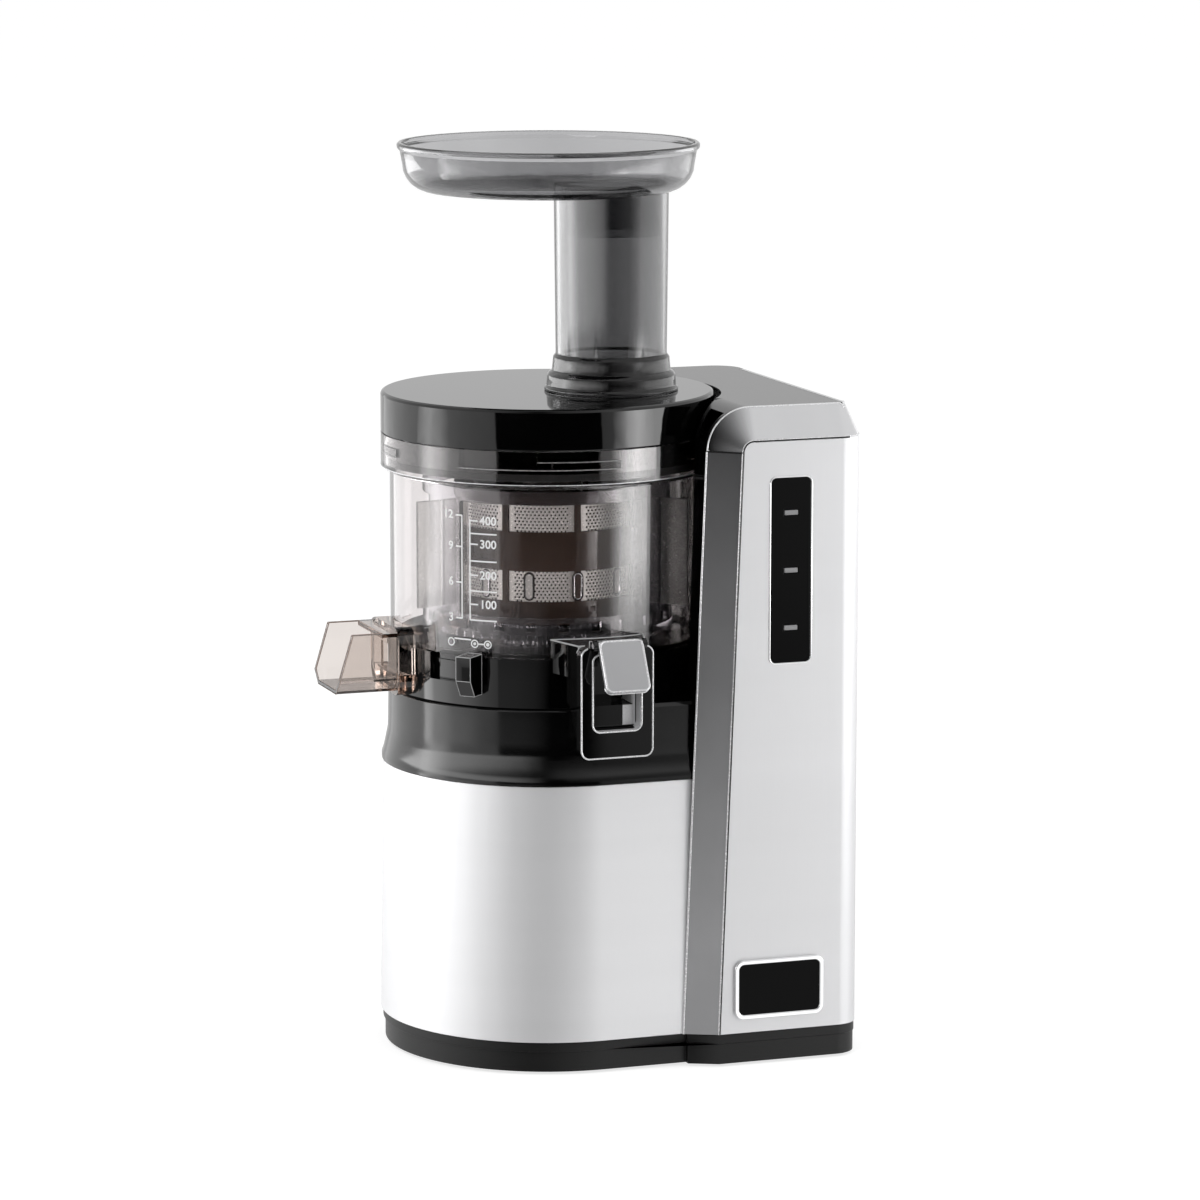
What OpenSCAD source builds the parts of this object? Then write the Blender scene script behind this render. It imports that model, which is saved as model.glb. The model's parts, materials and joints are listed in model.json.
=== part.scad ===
// Cold press (slow) juicer: motor body with a side tower, a lift-off juicing chamber, a turning lid, a feed
// tray. Each piece is its own module. Heights are measured from the surface that the juicer stands on, and
// the construction is laid out round the upright axis of the chamber.

/* [Motor body] */
// Radius of the rounded end of the body
body_r = 80; // [78:1:98]
// Length of the straight part between the rounded end and the tower
body_straight = 50; // [44:1:62]
// Height of the black base
base_h = 16; // [13:0.5:22]
// Height of the steel skin
skin_h = 122; // [118:1:150]
// How much further out the steel skin stands at its foot than at its top
skin_draft = 2; // [0:0.1:2]
// Thickness of the steel sheet
sheet = 1.2; // [0.8:0.1:1.6]
// Height of the dark upper housing
housing_h = 36.6; // [34:0.2:46]
// How far the top of the upper housing stands in from the steel skin
housing_inset = 3.5; // [2:0.5:4]
// Wall of the moulded housings
wall = 2.5; // [2:0.1:3]
// How far the rubber feet lift the base
foot_rise = 1.5; // [1:0.1:3]

/* [Tower] */
// Distance of the tower's outer side from the chamber axis
tower_side = 127.8; // [124:0.2:150]
// How far the tower's steel face stands out in front of the body
face_proud = 8.6; // [8.6:0.1:14]
// Lean of the inner edge of the steel face, in degrees
lean = 2.23; // [0:0.1:3]
// How far outside the end of the body's straight part the steel face starts at its foot
face_gap = 5.5; // [3:0.1:8]
// Width of the sloping trim round the face
trim_w = 15.5; // [11:0.5:18]
// How far the trim falls back from the face
trim_d = 7.2; // [5:0.1:7.3]
// Radius of the front corner
front_corner = 12; // [9:0.5:13]
// Radius of the back corner
back_corner = 20; // [14:1:26]
// How far the top of the tower stays below the top of the lid
tower_drop = 1.7; // [0:0.1:8]

/* [Controls] */
// Height of the middle of the control panel
panel_z = 236.3; // [180:1:250]
// Width of the control panel
panel_w = 20; // [16:0.5:26]
// Height of the control panel
panel_h = 87.5; // [76:0.5:96]
// Distance of the panel's middle from the foot of the inner edge of the steel face
panel_in = 34.4; // [32:0.2:40]
// Spacing of the three buttons
button_pitch = 27.2; // [22:0.2:30]
// Width of a button
button_w = 6.5; // [5:0.1:8]
// Height of a button
button_h = 2.2; // [1.8:0.1:4]
// Travel of a button
button_travel = 0.8; // [0.4:0.1:1]
// Width of the bare badge
badge_w = 45; // [30:1:56]
// Height of the bare badge
badge_h = 28.6; // [18:0.2:36]

/* [Chamber] */
// Outer radius of the clear drum
drum_r = 75; // [74:0.2:76.4]
// Wall of the clear drum
drum_t = 2.4; // [1.8:0.1:3]
// Height of the black ring under the drum
ring_h = 23; // [22:0.5:28]
// Height of the clear drum up to its collar
drum_h = 81; // [80:1:100]
// Height of the collar round the top of the drum
collar_h = 16.7; // [16:0.1:22]
// Outer radius of the collar and of the lid
lid_r = 79.2; // [78.8:0.2:81]
// Height of the lid above the collar
lid_h = 19.5; // [15:0.5:24]
// Inner radius of the strainer
strainer_r = 41.5; // [39:0.5:44]
// Outer radius of the spinning brush frame
brush_r = 59.5; // [58:0.5:63]

/* [Feed chute and tray] */
// Outer radius of the feed chute
chute_r = 27.2; // [24:0.2:28]
// Wall of the feed chute
chute_t = 2.5; // [2:0.1:3]
// How much narrower the chute is at its foot than at its top
chute_draft = 0.8; // [0:0.1:1]
// Height of the chute above the lid
chute_h = 94.2; // [78:0.2:120]
// Chute axis to the right of the chamber axis
chute_x = 28; // [28:0.5:34]
// Chute axis in front of the chamber axis
chute_y = -12; // [-16:0.5:-11]
// Tray's middle to the right of the chamber axis
tray_x = 0.8; // [0:0.2:4]
// Outer radius of the tray
tray_r = 71.5; // [62:0.5:90]
// Height of the tray
tray_h = 23; // [18:0.2:32]

/* [Spouts and lever] */
// Width of the juice spout's front plate
plate_w = 35; // [31:0.5:38]
// Height of the bottom of the plate above the deck, negative is below
plate_low = -19.5; // [-26:0.5:-14]
// How far the plate's front stands out in front of the body
plate_out = 20.5; // [19:0.5:28]
// Width of the juice window
window_w = 23.6; // [22:0.2:25]
// Width of the juice flap
flap_w = 21; // [18:0.5:22]
// Length of the juice flap
flap_l = 25; // [20:0.5:26]
// How far the flap stands open at rest, in degrees
flap_open = 29; // [10:1:60]
// Width of the pulp spout
pulp_w = 42; // [34:1:46]
// How far the pulp spout reaches outside the body
pulp_proud = 30; // [24:1:44]
// Lever position round the chamber axis, degrees from the front towards the pulp spout
lever_at = 44.6; // [42:0.2:50]
// How far the lever turns from closed to open, in degrees
lever_travel = 15.5; // [10:0.5:18]
// How far the lever's fin stands out from the ring under the drum
lever_out = 13; // [9:0.5:17]
// Thickness of the lever's finger fin
lever_t = 7.5; // [5:0.5:9]

/* [Drive] */
// Module of the gearbox gears
gear_m = 1.25; // [1:0.05:1.3]
// Teeth of the gearbox pinions
pinion_teeth = 12; // [12:1:14]
// Teeth of the gearbox wheels
wheel_teeth = 48; // [40:1:48]
// Face width of the gears
gear_face = 9; // [7:0.5:10]
// Module of the chamber gears
brush_m = 1.5; // [1.4:0.05:1.55]
// Teeth of the pressing screw's gear
screw_teeth = 20; // [20:4:20]
// Teeth of the idler
idler_teeth = 12; // [12:4:12]
// Radius of the motor's stator
stator_r = 42; // [36:0.5:46]
// Radius of the motor's rotor
rotor_r = 23.5; // [20:0.5:26]
// Height of the motor's iron core
core_h = 34; // [28:0.5:38]
// Radius of the motor shaft
shaft_r = 4; // [3:0.5:4.5]
// Radius of the output shaft
output_r = 6; // [5:0.5:7]

/* [Fits] */
// Clearance between pieces that seat against each other
fit = 0.3; // [0.2:0.05:0.4]
// Radial clearance of a shaft in its bearing
running = 0.05; // [0.02:0.01:0.1]
// Gap between gear teeth
backlash = 0.24; // [0.15:0.01:0.3]

/* [Hidden] */
$fn = 96;
e = 0.01;

steel = [0.80, 0.81, 0.82];
gunmetal = [0.36, 0.36, 0.38];
black = [0.05, 0.05, 0.055];
dark = [0.13, 0.13, 0.14];
smoke = [0.45, 0.45, 0.46, 0.55];
clear = [0.86, 0.80, 0.78, 0.35];
pink = [0.85, 0.74, 0.70, 0.5];
brown = [0.34, 0.26, 0.24];
white = [0.90, 0.90, 0.88];
copper = [0.72, 0.42, 0.22];
green = [0.10, 0.32, 0.20];
nylon = [0.86, 0.84, 0.78];
iron = [0.50, 0.51, 0.53];
rubber = [0.12, 0.12, 0.12];

// heights
z_skin = base_h;
z_housing = z_skin + skin_h;
z_deck = z_housing + housing_h;
z_drum = z_deck + ring_h;
z_collar = z_drum + drum_h;
z_lid = z_collar + collar_h;
z_lid_top = z_lid + lid_h;
z_chute_top = z_lid_top + chute_h;
z_top = z_chute_top + tray_h;
z_tower = z_lid_top - tower_drop;
z_face = z_tower - trim_w;

// what stands out from the body
tower_front = body_r + face_proud;
plate_y = body_r + plate_out;
pulp_reach = body_r + pulp_proud;

// the whole plan, used to stand the part over the middle of its box
reach_left = pulp_reach;
flap_hinge_y = -plate_y - 2.5;
flap_hinge_z = z_drum + 10.9;
flap_t = 3;
flap_over = 1.2;
reach_front = -flap_hinge_y + (flap_l - flap_over) * sin(flap_open) + flap_t * cos(flap_open);
mid_x = (tower_side - reach_left) / 2;
gland_out = 4;
mid_y = (body_r + gland_out - reach_front) / 2;

// upper housing and the ring that stands on it
top_r = body_r - housing_inset;
ring_t = 2.8;
lever_reach = top_r + lever_out;

// tower
horn_x = 22;
recess_r = max(lid_r, top_r) + 3.4;
// where the recess for the chamber leaves the front of the tower
recess_x = sqrt(max(0, recess_r * recess_r - body_r * body_r));
face_start = max(body_straight + face_gap, recess_x + trim_w + 1);
panel_x = face_start + panel_in;
face_in = tan(lean);
steel_side_end = 55;
corner_in = 5;
corner_z = z_face - corner_in;
corner_x = face_x(corner_z + corner_in * sin(lean)) + corner_in * cos(lean);
function face_x(z) = face_start + (z - base_h) * face_in;

// chamber
drum_in = drum_r - drum_t;
collar_t = 3;
skirt_r = lid_r - collar_t - fit;
skirt_t = 2.5;
floor_t = 3;
z_floor = z_drum;
gear_rise = 0.4;
chamber_face = 8;
z_gear = z_floor + gear_rise;
z_strainer = z_gear + chamber_face + 2.6;
strainer_t = 3;
strainer_out = strainer_r + strainer_t;
z_strainer_top = z_collar - 7;
screw_pitch_r = brush_m * screw_teeth / 2;
idler_pitch_r = brush_m * idler_teeth / 2;
ring_teeth = screw_teeth + 2 * idler_teeth;
ring_pitch_r = brush_m * ring_teeth / 2;
idler_y = screw_pitch_r + idler_pitch_r;
boss_in = screw_pitch_r + brush_m + 1.2;
boss_out = ring_pitch_r - brush_m * 0.8 - 1;
pulp_in = boss_in + 1.4;
pulp_out = boss_out - 1.2;
pulp_half_angle = 7;
gate_z = z_floor - floor_t - fit - 2.6;
gate_t = 2.6;
web_z = z_deck + 5.5;
web_t = 3;
hub_r = 14;
seal_r = 11;
insert_r = 9;
socket_r = 6.2;
hex_r = 5.8;
screw_r = strainer_r - 0.7;
z_screw = z_strainer + 3.2;
z_screw_top = z_collar + 5;
top_pin_r = 3;

// drive
wheel_pitch_r = gear_m * wheel_teeth / 2;
pinion_pitch_r = gear_m * pinion_teeth / 2;
counter_x = -(wheel_pitch_r + pinion_pitch_r);
gear_wall = 2.5;
z_fan = foot_rise + 8.5;
z_bell = z_skin + 9;
z_core = z_bell + 13;
z_bell_top = z_core + core_h + 12;
z_tub = z_bell_top + 1;
z_wheel1 = z_tub + gear_wall + 1.5;
z_wheel2 = z_wheel1 + gear_face + 3;
z_box_lid = z_wheel2 + gear_face + 1.5;
bearing_r = 11;
bearing_h = 7;

// ---------- outlines and helpers ----------

// everything is drawn round the chamber axis, then stood over the middle of its box
module placed() {
    translate([-mid_x, -mid_y, 0]) children();
}

module box(x0, y0, z0, x1, y1, z1) {
    translate([x0, y0, z0]) cube([x1 - x0, y1 - y0, z1 - z0]);
}

module rect(x0, y0, x1, y1) {
    translate([x0, y0]) square([x1 - x0, y1 - y0]);
}

module ring(r_out, r_in, z0, z1) {
    translate([0, 0, z0]) difference() {
        cylinder(r = r_out, h = z1 - z0);
        translate([0, 0, -e]) cylinder(r = r_in, h = z1 - z0 + 2 * e);
    }
}

module disc(r, z0, z1) {
    translate([0, 0, z0]) cylinder(r = r, h = z1 - z0);
}

// a sector of a ring from angle a0 to a1
module sector(r_out, r_in, z0, z1, a0, a1) {
    rotate([0, 0, a0]) rotate_extrude(angle = a1 - a0) rect(r_in, z0, r_out, z1);
}

// a rectangle with round corners, centred
module soft_rect(w, h, r) {
    square([w - 2 * r, h], center = true);
    square([w, h - 2 * r], center = true);
    for (sx = [-1, 1], sy = [-1, 1]) {
        translate([sx * (w / 2 - r), sy * (h / 2 - r)]) circle(r = r, $fn = 48);
    }
}

// a plan with two rounded corners on its right side, in front and behind
module slab(x0, y0, x1, y1, rf, rb) {
    r = max(rf, rb);
    rect(x0, y0, x1 - r, y1);
    rect(x1 - r - e, y0 + rf, x1, y1 - rb);
    rect(x1 - r - e, y0, x1 - rf, y0 + rf + e);
    rect(x1 - r - e, y1 - rb - e, x1 - rb, y1);
    translate([x1 - rf, y0 + rf]) circle(r = rf);
    translate([x1 - rb, y1 - rb]) circle(r = rb);
}

// the plan of the body: a half round end and a straight part
module body_plan(r, x1) {
    difference() {
        circle(r = r, $fn = 128);
        rect(0, -r - 1, r + 1, r + 1);
    }
    rect(0, -r, x1, r);
}

// sweeps an outline of (radius, height) round the body's end and along its straight sides
module body_sweep(x1) {
    rotate([0, 0, 90]) rotate_extrude(angle = 180, $fn = 128) children();
    for (side = [0, 1]) {
        mirror([0, side, 0]) rotate([90, 0, 90]) linear_extrude(x1) children();
    }
}

// a flat plate in the plane of the tower's face, drawn as (x, z), from y0 to y1
module face_plate(y0, y1) {
    translate([0, y1, 0]) rotate([90, 0, 0]) linear_extrude(y1 - y0) children();
}

// everything on the inner side of the leaning edge of the face, shifted by dx
module inner_side(dx, y0, y1) {
    face_plate(y0, y1) polygon([
        [face_x(0) + dx, 0], [face_x(z_tower + 1) + dx, z_tower + 1], [-body_r, z_tower + 1], [-body_r,
            0]]);
}

// ---------- gears ----------

pressure = 25;
flank_steps = 5;
function inv(a) = tan(a) * 180 / PI - a;
function roll(r, rb) = r <= rb ? 0 : acos(rb / r);
function half_tooth(r, rp, rb, t) = t + inv(pressure) - inv(roll(r, rb));
function flank(rp, rb, r0, r1, t) = [for (i = [0:flank_steps])
    let (r = r0 + (r1 - r0) * i / flank_steps) [r, half_tooth(r, rp, rb, t)]];

// plan of an involute gear with a tooth on the x axis; add and ded are in modules
module gear_plan(teeth, m, gap, add = 1, ded = 1.25) {
    rp = m * teeth / 2;
    rb = rp * cos(pressure);
    rt = rp + add * m;
    rr = rp - ded * m;
    t = 90 / teeth - gap / rp * 90 / PI;
    side = flank(rp, rb, max(rb, rr), rt, t);
    root_a = half_tooth(max(rb, rr), rp, rb, t);
    tooth = concat([[rr, min(root_a, 180 / teeth - 0.3)]], side);
    polygon([for (i = [0:teeth - 1]) for (k = [0:2 * len(tooth) - 1])
        let (q = k < len(tooth) ? [tooth[k][0], -tooth[k][1]]
            : [tooth[2 * len(tooth) - 1 - k][0], tooth[2 * len(tooth) - 1 - k][1]])
        let (a = i * 360 / teeth + q[1]) [q[0] * cos(a), q[0] * sin(a)]]);
}

// ---------- base and body ----------

post_x = body_straight - 10;
post_spots = [[-0.53 * body_r, -0.64 * body_r], [-0.53 * body_r, 0.64 * body_r],
    [post_x, -0.78 * body_r], [post_x, 0.78 * body_r]];
foot_spots = [[-0.62, -0.34], [-0.62, 0.34], [0.22, -0.8], [0.22, 0.8]];
post_r = 4.5;
screw_hole_r = 1.9;
foot_r = 8;

module at_posts() {
    for (p = post_spots) translate([p[0], p[1], 0]) children();
}

module at_feet() {
    for (p = foot_spots) translate([p[0] * body_r, p[1] * body_r, 0]) children();
    translate([tower_side - 18, -tower_front + 22, 0]) children();
    translate([tower_side - 24, body_r - 24, 0]) children();
}

module base_plan(inset, tower_inset) {
    body_plan(body_r - inset, body_straight + 10);
    difference() {
        slab(face_start - trim_w + 1.4 + tower_inset, -tower_front + tower_inset, tower_side - tower_inset,
            body_r - inset, front_corner, back_corner - inset);
        // follows the slope of the trim
        polygon([[face_start - trim_w - 2, -tower_front + trim_d + tower_inset + 1],
            [face_start, -tower_front + tower_inset], [face_start, -tower_front - 1],
            [face_start - trim_w - 2, -tower_front - 1]]);
    }
}

module base_tray() {
    tier = base_h - 4.7;
    color(black) placed() difference() {
        union() {
            translate([0, 0, tier - e]) linear_extrude(base_h - tier + e) base_plan(0.2, 0.3);
            translate([0, 0, foot_rise]) linear_extrude(tier - foot_rise) base_plan(1.2, 0.6);
        }
        difference() {
            translate([0, 0, foot_rise + 3]) linear_extrude(base_h) base_plan(6, 4);
            at_posts() disc(post_r + 1.5, 0, base_h);
        }
        at_posts() {
            disc(screw_hole_r, -e, base_h + e);
            disc(4, -e, foot_rise + 4);
        }
        at_feet() disc(foot_r + fit, 0, foot_rise + 1);
        for (i = [-4:4]) box(-26, i * 7 - 1.5, 0, 26, i * 7 + 1.5, foot_rise + 3.1);
    }
}

module feet() {
    color(rubber) placed() at_feet() {
        translate([0, 0, 0.8]) cylinder(r = foot_r, h = foot_rise + 0.2);
        cylinder(r1 = foot_r - 0.8, r2 = foot_r, h = 0.8 + e);
    }
}

module base_screws() {
    color(iron) placed() at_posts() {
        disc(screw_hole_r - running, foot_rise + 3, base_h + 12);
        difference() {
            disc(3.6, foot_rise + 1.2, foot_rise + 4);
            box(-3, -0.4, 0, 3, 0.4, foot_rise + 2.2);
            box(-0.4, -3, 0, 0.4, 3, foot_rise + 2.2);
        }
    }
}

module body_skin() {
    foot_out = body_r + skin_draft / 2;
    top_out = body_r - skin_draft / 2;
    color(steel) placed() body_sweep(body_straight) polygon([[foot_out - sheet, z_skin], [foot_out, z_skin],
        [top_out, z_housing], [top_out - sheet, z_housing]]);
}

module upper_housing() {
    inner_r = top_r - wall;
    h = housing_h;
    color(dark) placed() {
        difference() {
            union() {
                body_sweep(body_straight) polygon([[0, z_housing], [body_r - fit, z_housing],
                    [body_r - fit, z_housing + 2.5], [body_r - 1.2, z_housing + 5],
                    [body_r - 2.1, z_housing + 9], [top_r + 0.2, z_housing + 15], [top_r,
                        z_housing + h * 0.7],
                    [top_r - 0.2, z_deck - 1.6], [top_r - 1.6, z_deck], [0, z_deck]]);
            }
            difference() {
                translate([0, 0, z_housing - e]) linear_extrude(h - 3 + e) body_plan(inner_r,
                    body_straight - wall);
                disc(bearing_r + 4, z_deck - 14, z_deck);
            }
            disc(bearing_r + running, z_deck - 14 - e, z_deck - 5);
            disc(output_r + 1, z_deck - 6, z_deck + e);
        }
        ring(20, output_r + 5, z_deck, z_deck + 3.2);
        at_posts() difference() {
            disc(post_r, z_skin, z_deck - 2);
            disc(screw_hole_r, z_skin - e, z_skin + 14);
        }
    }
}

// ---------- tower ----------

module tower_plan(x0, inset) {
    slab(x0, -body_r + inset, tower_side - inset, body_r - inset, 1, back_corner - inset);
}

module tower_shell() {
    z1 = z_face;
    color(black) placed() difference() {
        union() {
            translate([0, 0, base_h]) linear_extrude(z1 - base_h) tower_plan(body_straight + fit, 0);
            translate([0, 0, z_deck + fit]) linear_extrude(z1 - z_deck - fit) tower_plan(horn_x, 0);
        }
        disc(recess_r, z_deck, z1 + e);
        // leaning inner front edge, under the trim
        intersection() {
            inner_side(-trim_w, -body_r - 1, -body_r * 0.6);
            box(-body_r, -body_r - 1, z_deck + fit - e, tower_side, -body_r * 0.6, z1 + e);
        }
        // rebate for the steel that wraps round the side
        box(tower_side - sheet - fit, -body_r - 1, 0, tower_side + 1, steel_side_end + fit, z1 + e);
        box(tower_side - sheet - fit - wall / 2, -body_r - 1, 0, tower_side + 1, -body_r + wall / 2, z1 + e);
        // the hollow
        difference() {
            union() {
                translate([0, 0, base_h - e]) linear_extrude(z1 - base_h + 2 * e)
                    tower_plan(body_straight + fit + wall, wall);
                translate([0, 0, z_deck + fit + wall]) linear_extrude(z1 - z_deck - fit - wall + e)
                    tower_plan(horn_x + wall, wall);
            }
            disc(recess_r + wall, z_deck - wall, z1 + 1);
            inner_side(-trim_w + wall, -body_r - 1, -body_r * 0.6 + wall);
            box(tower_side - sheet - fit - wall, -body_r - 1, 0, tower_side + 1,
                steel_side_end + fit + wall, z1 + 1);
        }
        // window for the wires behind the control board
        box(panel_x - 8, -body_r - 1, panel_z - 30, panel_x + 8, -body_r + wall + 1, panel_z - 18);
        // grip for the cord gland
        at_gland() disc(gland_r, -1, wall + 1);
    }
}

module tower_front() {
    color(steel) placed() difference() {
        translate([0, 0, base_h]) linear_extrude(z_face - base_h) difference() {
            slab(face_start - 5, -tower_front, tower_side, steel_side_end, front_corner, 0.5);
            slab(face_start - 6, -tower_front + sheet, tower_side - sheet, steel_side_end + 1,
                front_corner - sheet, 0.5);
        }
        inner_side(0, -tower_front - 1, -body_r + 30);
        // the round inner top corner of the face
        face_plate(-tower_front - 1, -tower_front + 3) difference() {
            rect(corner_x - 30, corner_z, corner_x, z_face + 1);
            translate([corner_x, corner_z]) circle(r = corner_in);
        }
        face_plate(-tower_front - 1, -tower_front + 3)
            translate([panel_x, panel_z]) soft_rect(panel_w + 2 * fit, panel_h + 2 * fit, 3);
    }
}

// section of the sloping trim: out is the distance from the edge of the face
trim_back = -body_r - skin_draft / 2 - fit;
function trim_section(base) = [[base, -tower_front], [base + trim_w, -tower_front + trim_d],
    [base + trim_w, trim_back], [base, trim_back]];

module tower_trim_side() {
    foot = base_h;
    h = (corner_z - foot) / cos(lean) - fit;
    color(gunmetal) placed() intersection() {
        translate([face_start, 0, foot]) rotate([0, lean, 0]) translate([0, 0, -5]) linear_extrude(h + 5)
            mirror([1, 0]) polygon(trim_section(fit));
        box(0, -tower_front - 1, foot, tower_side, 0, z_tower);
    }
}

module tower_trim_top() {
    ix = tower_side - front_corner;
    iy = -tower_front + front_corner;
    back = trim_back;
    z0 = z_face + fit;
    slope = trim_d / trim_w;
    y0 = -tower_front + slope * fit;
    color(gunmetal) placed() {
        // inner corner
        intersection() {
            translate([corner_x, 0, corner_z]) rotate([90, 0, 0]) rotate_extrude($fn = 96)
                polygon([for (p = trim_section(corner_in)) [p[0] + (p[0] < corner_in + 1 ? fit : 0),
                    -p[1]]]);
            face_plate(-tower_front - 1, back + 1) corner_sector();
        }
        // along the top of the face
        box_run(corner_x, ix, z0, y0, back);
        // round the outer corner and along the side
        difference() {
            translate([ix, iy, 0]) rotate([0, 0, -90]) rotate_extrude(angle = 90) polygon([[0, z0],
                [front_corner - slope * fit, z0], [front_corner - trim_d, z_tower], [0, z_tower]]);
            box(ix - 1, back, z0 - 1, ix + front_corner - trim_d - 2, iy + 1, z_tower + 1);
        }
        translate([0, steel_side_end, 0]) rotate([90, 0, 0]) linear_extrude(steel_side_end - iy)
            polygon([[ix + front_corner - trim_d - 2, z0], [tower_side - slope * fit, z0],
                [tower_side - trim_d, z_tower], [ix + front_corner - trim_d - 2, z_tower]]);
    }
}

// the part of the plane that the inner corner turns through
module corner_sector() {
    far = 2 * trim_w;
    polygon([[corner_x, corner_z], [corner_x - far * cos(lean), corner_z + far * sin(lean)],
        [corner_x - far, corner_z + far], [corner_x, corner_z + far]]);
}

module box_run(x0, x1, z0, y0, back) {
    translate([x0, 0, 0]) rotate([90, 0, 90]) linear_extrude(x1 - x0)
        polygon([[y0, z0], [-tower_front + trim_d, z_tower], [back, z_tower], [back, z0]]);
}

module tower_cap() {
    z0 = z_face + fit;
    ix = tower_side - trim_d - 2 - fit;
    bx = tower_side - back_corner;
    by = body_r - back_corner;
    edge = [[0, z0], [back_corner, z0], [back_corner - trim_d, z_tower], [0, z_tower]];
    color(black) placed() difference() {
        union() {
            box(horn_x, -body_r, z0, bx, by, z_tower);
            box(bx, -body_r, z0, ix, steel_side_end + fit, z_tower);
            translate([bx, by, 0]) rotate_extrude(angle = 90) polygon(edge);
            translate([horn_x, by, 0]) rotate([90, 0, 90]) linear_extrude(bx - horn_x) polygon(edge);
            if (by > steel_side_end + fit) {
                translate([bx, by, 0]) rotate([90, 0, 0]) linear_extrude(by - steel_side_end - fit)
                    polygon(edge);
            }
        }
        disc(recess_r, z0 - 1, z_tower + 1);
        // follows the rounded inner corner of the trim
        face_plate(-body_r - 1, -body_r * 0.6) difference() {
            rect(corner_x - 60, corner_z - 20, corner_x, z_tower + 1);
            translate([corner_x, corner_z]) circle(r = corner_in + trim_w);
        }
        // the hollow under the top
        difference() {
            box(horn_x + wall, -body_r + wall, z0 - 1, ix - wall, body_r - trim_d - wall - 2, z_tower - 3);
            disc(recess_r + wall, z0 - 2, z_tower);
            translate([bx, by, z0 - 2]) difference() {
                box(0, 0, 0, 40, 40, 40);
                cylinder(r = back_corner - trim_d - wall, h = 40);
            }
        }
    }
}

// ---------- controls ----------

function button_z(i) = panel_z + (1 - i) * button_pitch;
panel_front = tower_front + 0.4;
panel_back = tower_front - sheet - fit - 1.5;
flange_t = 1.2;
flange_back = panel_back - fit - flange_t;

module panel() {
    color(black) placed() difference() {
        union() {
            face_plate(-panel_front, -panel_back - 1) translate([panel_x, panel_z]) soft_rect(panel_w,
                panel_h, 2.7);
            face_plate(-panel_back - 1.5, -panel_back)
                translate([panel_x, panel_z]) soft_rect(panel_w + 4, panel_h + 4, 3);
        }
        for (i = [0:2]) {
            face_plate(-panel_front - 1, -panel_back + 1)
                translate([panel_x, button_z(i)]) square([button_w + 0.4, button_h + 0.4], center = true);
        }
    }
}

module button(i) {
    color(gunmetal) placed() translate([panel_x, 0, button_z(i)]) {
        face_plate(-panel_front - 0.5, -flange_back - 0.2) square([button_w, button_h], center = true);
        face_plate(-flange_back - flange_t, -flange_back) soft_rect(button_w + 3, button_h + 4, 1);
    }
}

module button_forward() {
    button(0);
}

module button_power() {
    button(1);
}

module button_reverse() {
    button(2);
}

board_t = 1.6;
board_front = body_r + 0.5 + board_t;
switch_top = flange_back - button_travel - 0.1;

module control_board() {
    h = 2 * button_pitch + 22;
    color(green) placed() difference() {
        union() {
            face_plate(-board_front, -board_front + board_t) translate([panel_x, panel_z])
                soft_rect(panel_w + 6, h, 2);
            for (sx = [-1, 1], sz = [-1, 1]) {
                translate([panel_x + sx * (panel_w / 2), -board_front + board_t - e,
                    panel_z + sz * (h / 2 - 4)])
                    rotate([-90, 0, 0]) cylinder(r = 2, h = board_front - board_t - body_r + e, $fn = 24);
            }
        }
        for (i = [0:1]) {
            translate([panel_x, -board_front + board_t + 1, panel_z + (i - 0.5) * button_pitch])
                rotate([90, 0, 0]) cylinder(r = 1.6, h = board_t + 2, $fn = 24);
        }
    }
}

module switches() {
    color(iron) placed() for (i = [0:2]) {
        translate([panel_x, 0, button_z(i)]) {
            face_plate(-switch_top + 0.6, -board_front) square([6, 6], center = true);
            face_plate(-switch_top, -switch_top + 0.6 + e) circle(r = 1.6, $fn = 24);
        }
    }
}

badge_x = (face_start + tower_side) / 2 - 6.6;
badge_z = base_h + 21;

module badge_frame() {
    color(steel) placed() face_plate(-tower_front - 1.6, -tower_front) translate([badge_x, badge_z])
        difference() {
        soft_rect(badge_w, badge_h, 4.5);
        soft_rect(badge_w - 4.4, badge_h - 4.4, 2.6);
    }
}

module badge_plate() {
    color(black) placed() face_plate(-tower_front - 1, -tower_front)
        translate([badge_x, badge_z]) soft_rect(badge_w - 4.4 - 2 * running,
            badge_h - 4.4 - 2 * running, 2.5);
}

gland_r = 8;

module at_gland() {
    translate([tower_side - 40, body_r, base_h + 18]) rotate([90, 0, 0]) children();
}

module cord_gland() {
    color(rubber) placed() at_gland() difference() {
        union() {
            translate([0, 0, -gland_out]) cylinder(r1 = gland_r, r2 = gland_r + 2, h = gland_out);
            disc(gland_r - running, -e, wall + 0.2);
            disc(gland_r + 2, wall + 0.1, wall + 2.4);
        }
        disc(3.6, -gland_out - 1, wall + 5);
    }
}

module power_board() {
    x = tower_side - wall - 9;
    color(green) placed() {
        box(x, -50, 60, x + 1.6, 40, 150);
        for (y = [-44, 34], z = [66, 144]) {
            translate([x + 1.6 - e, y, z]) rotate([0, 90, 0])
                cylinder(r = 3, h = tower_side - sheet - fit - wall - x - 1.6 + e);
        }
        // transformer, filter and two tall capacitors
        box(x - 26, -40, 72, x + e, -12, 100);
        box(x - 18, -2, 70, x + e, 22, 92);
        for (y = [-30, -8]) translate([x + e, y, 122]) rotate([0, -90, 0]) cylinder(r = 8, h = 24);
    }
}

// ---------- motor ----------

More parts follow.
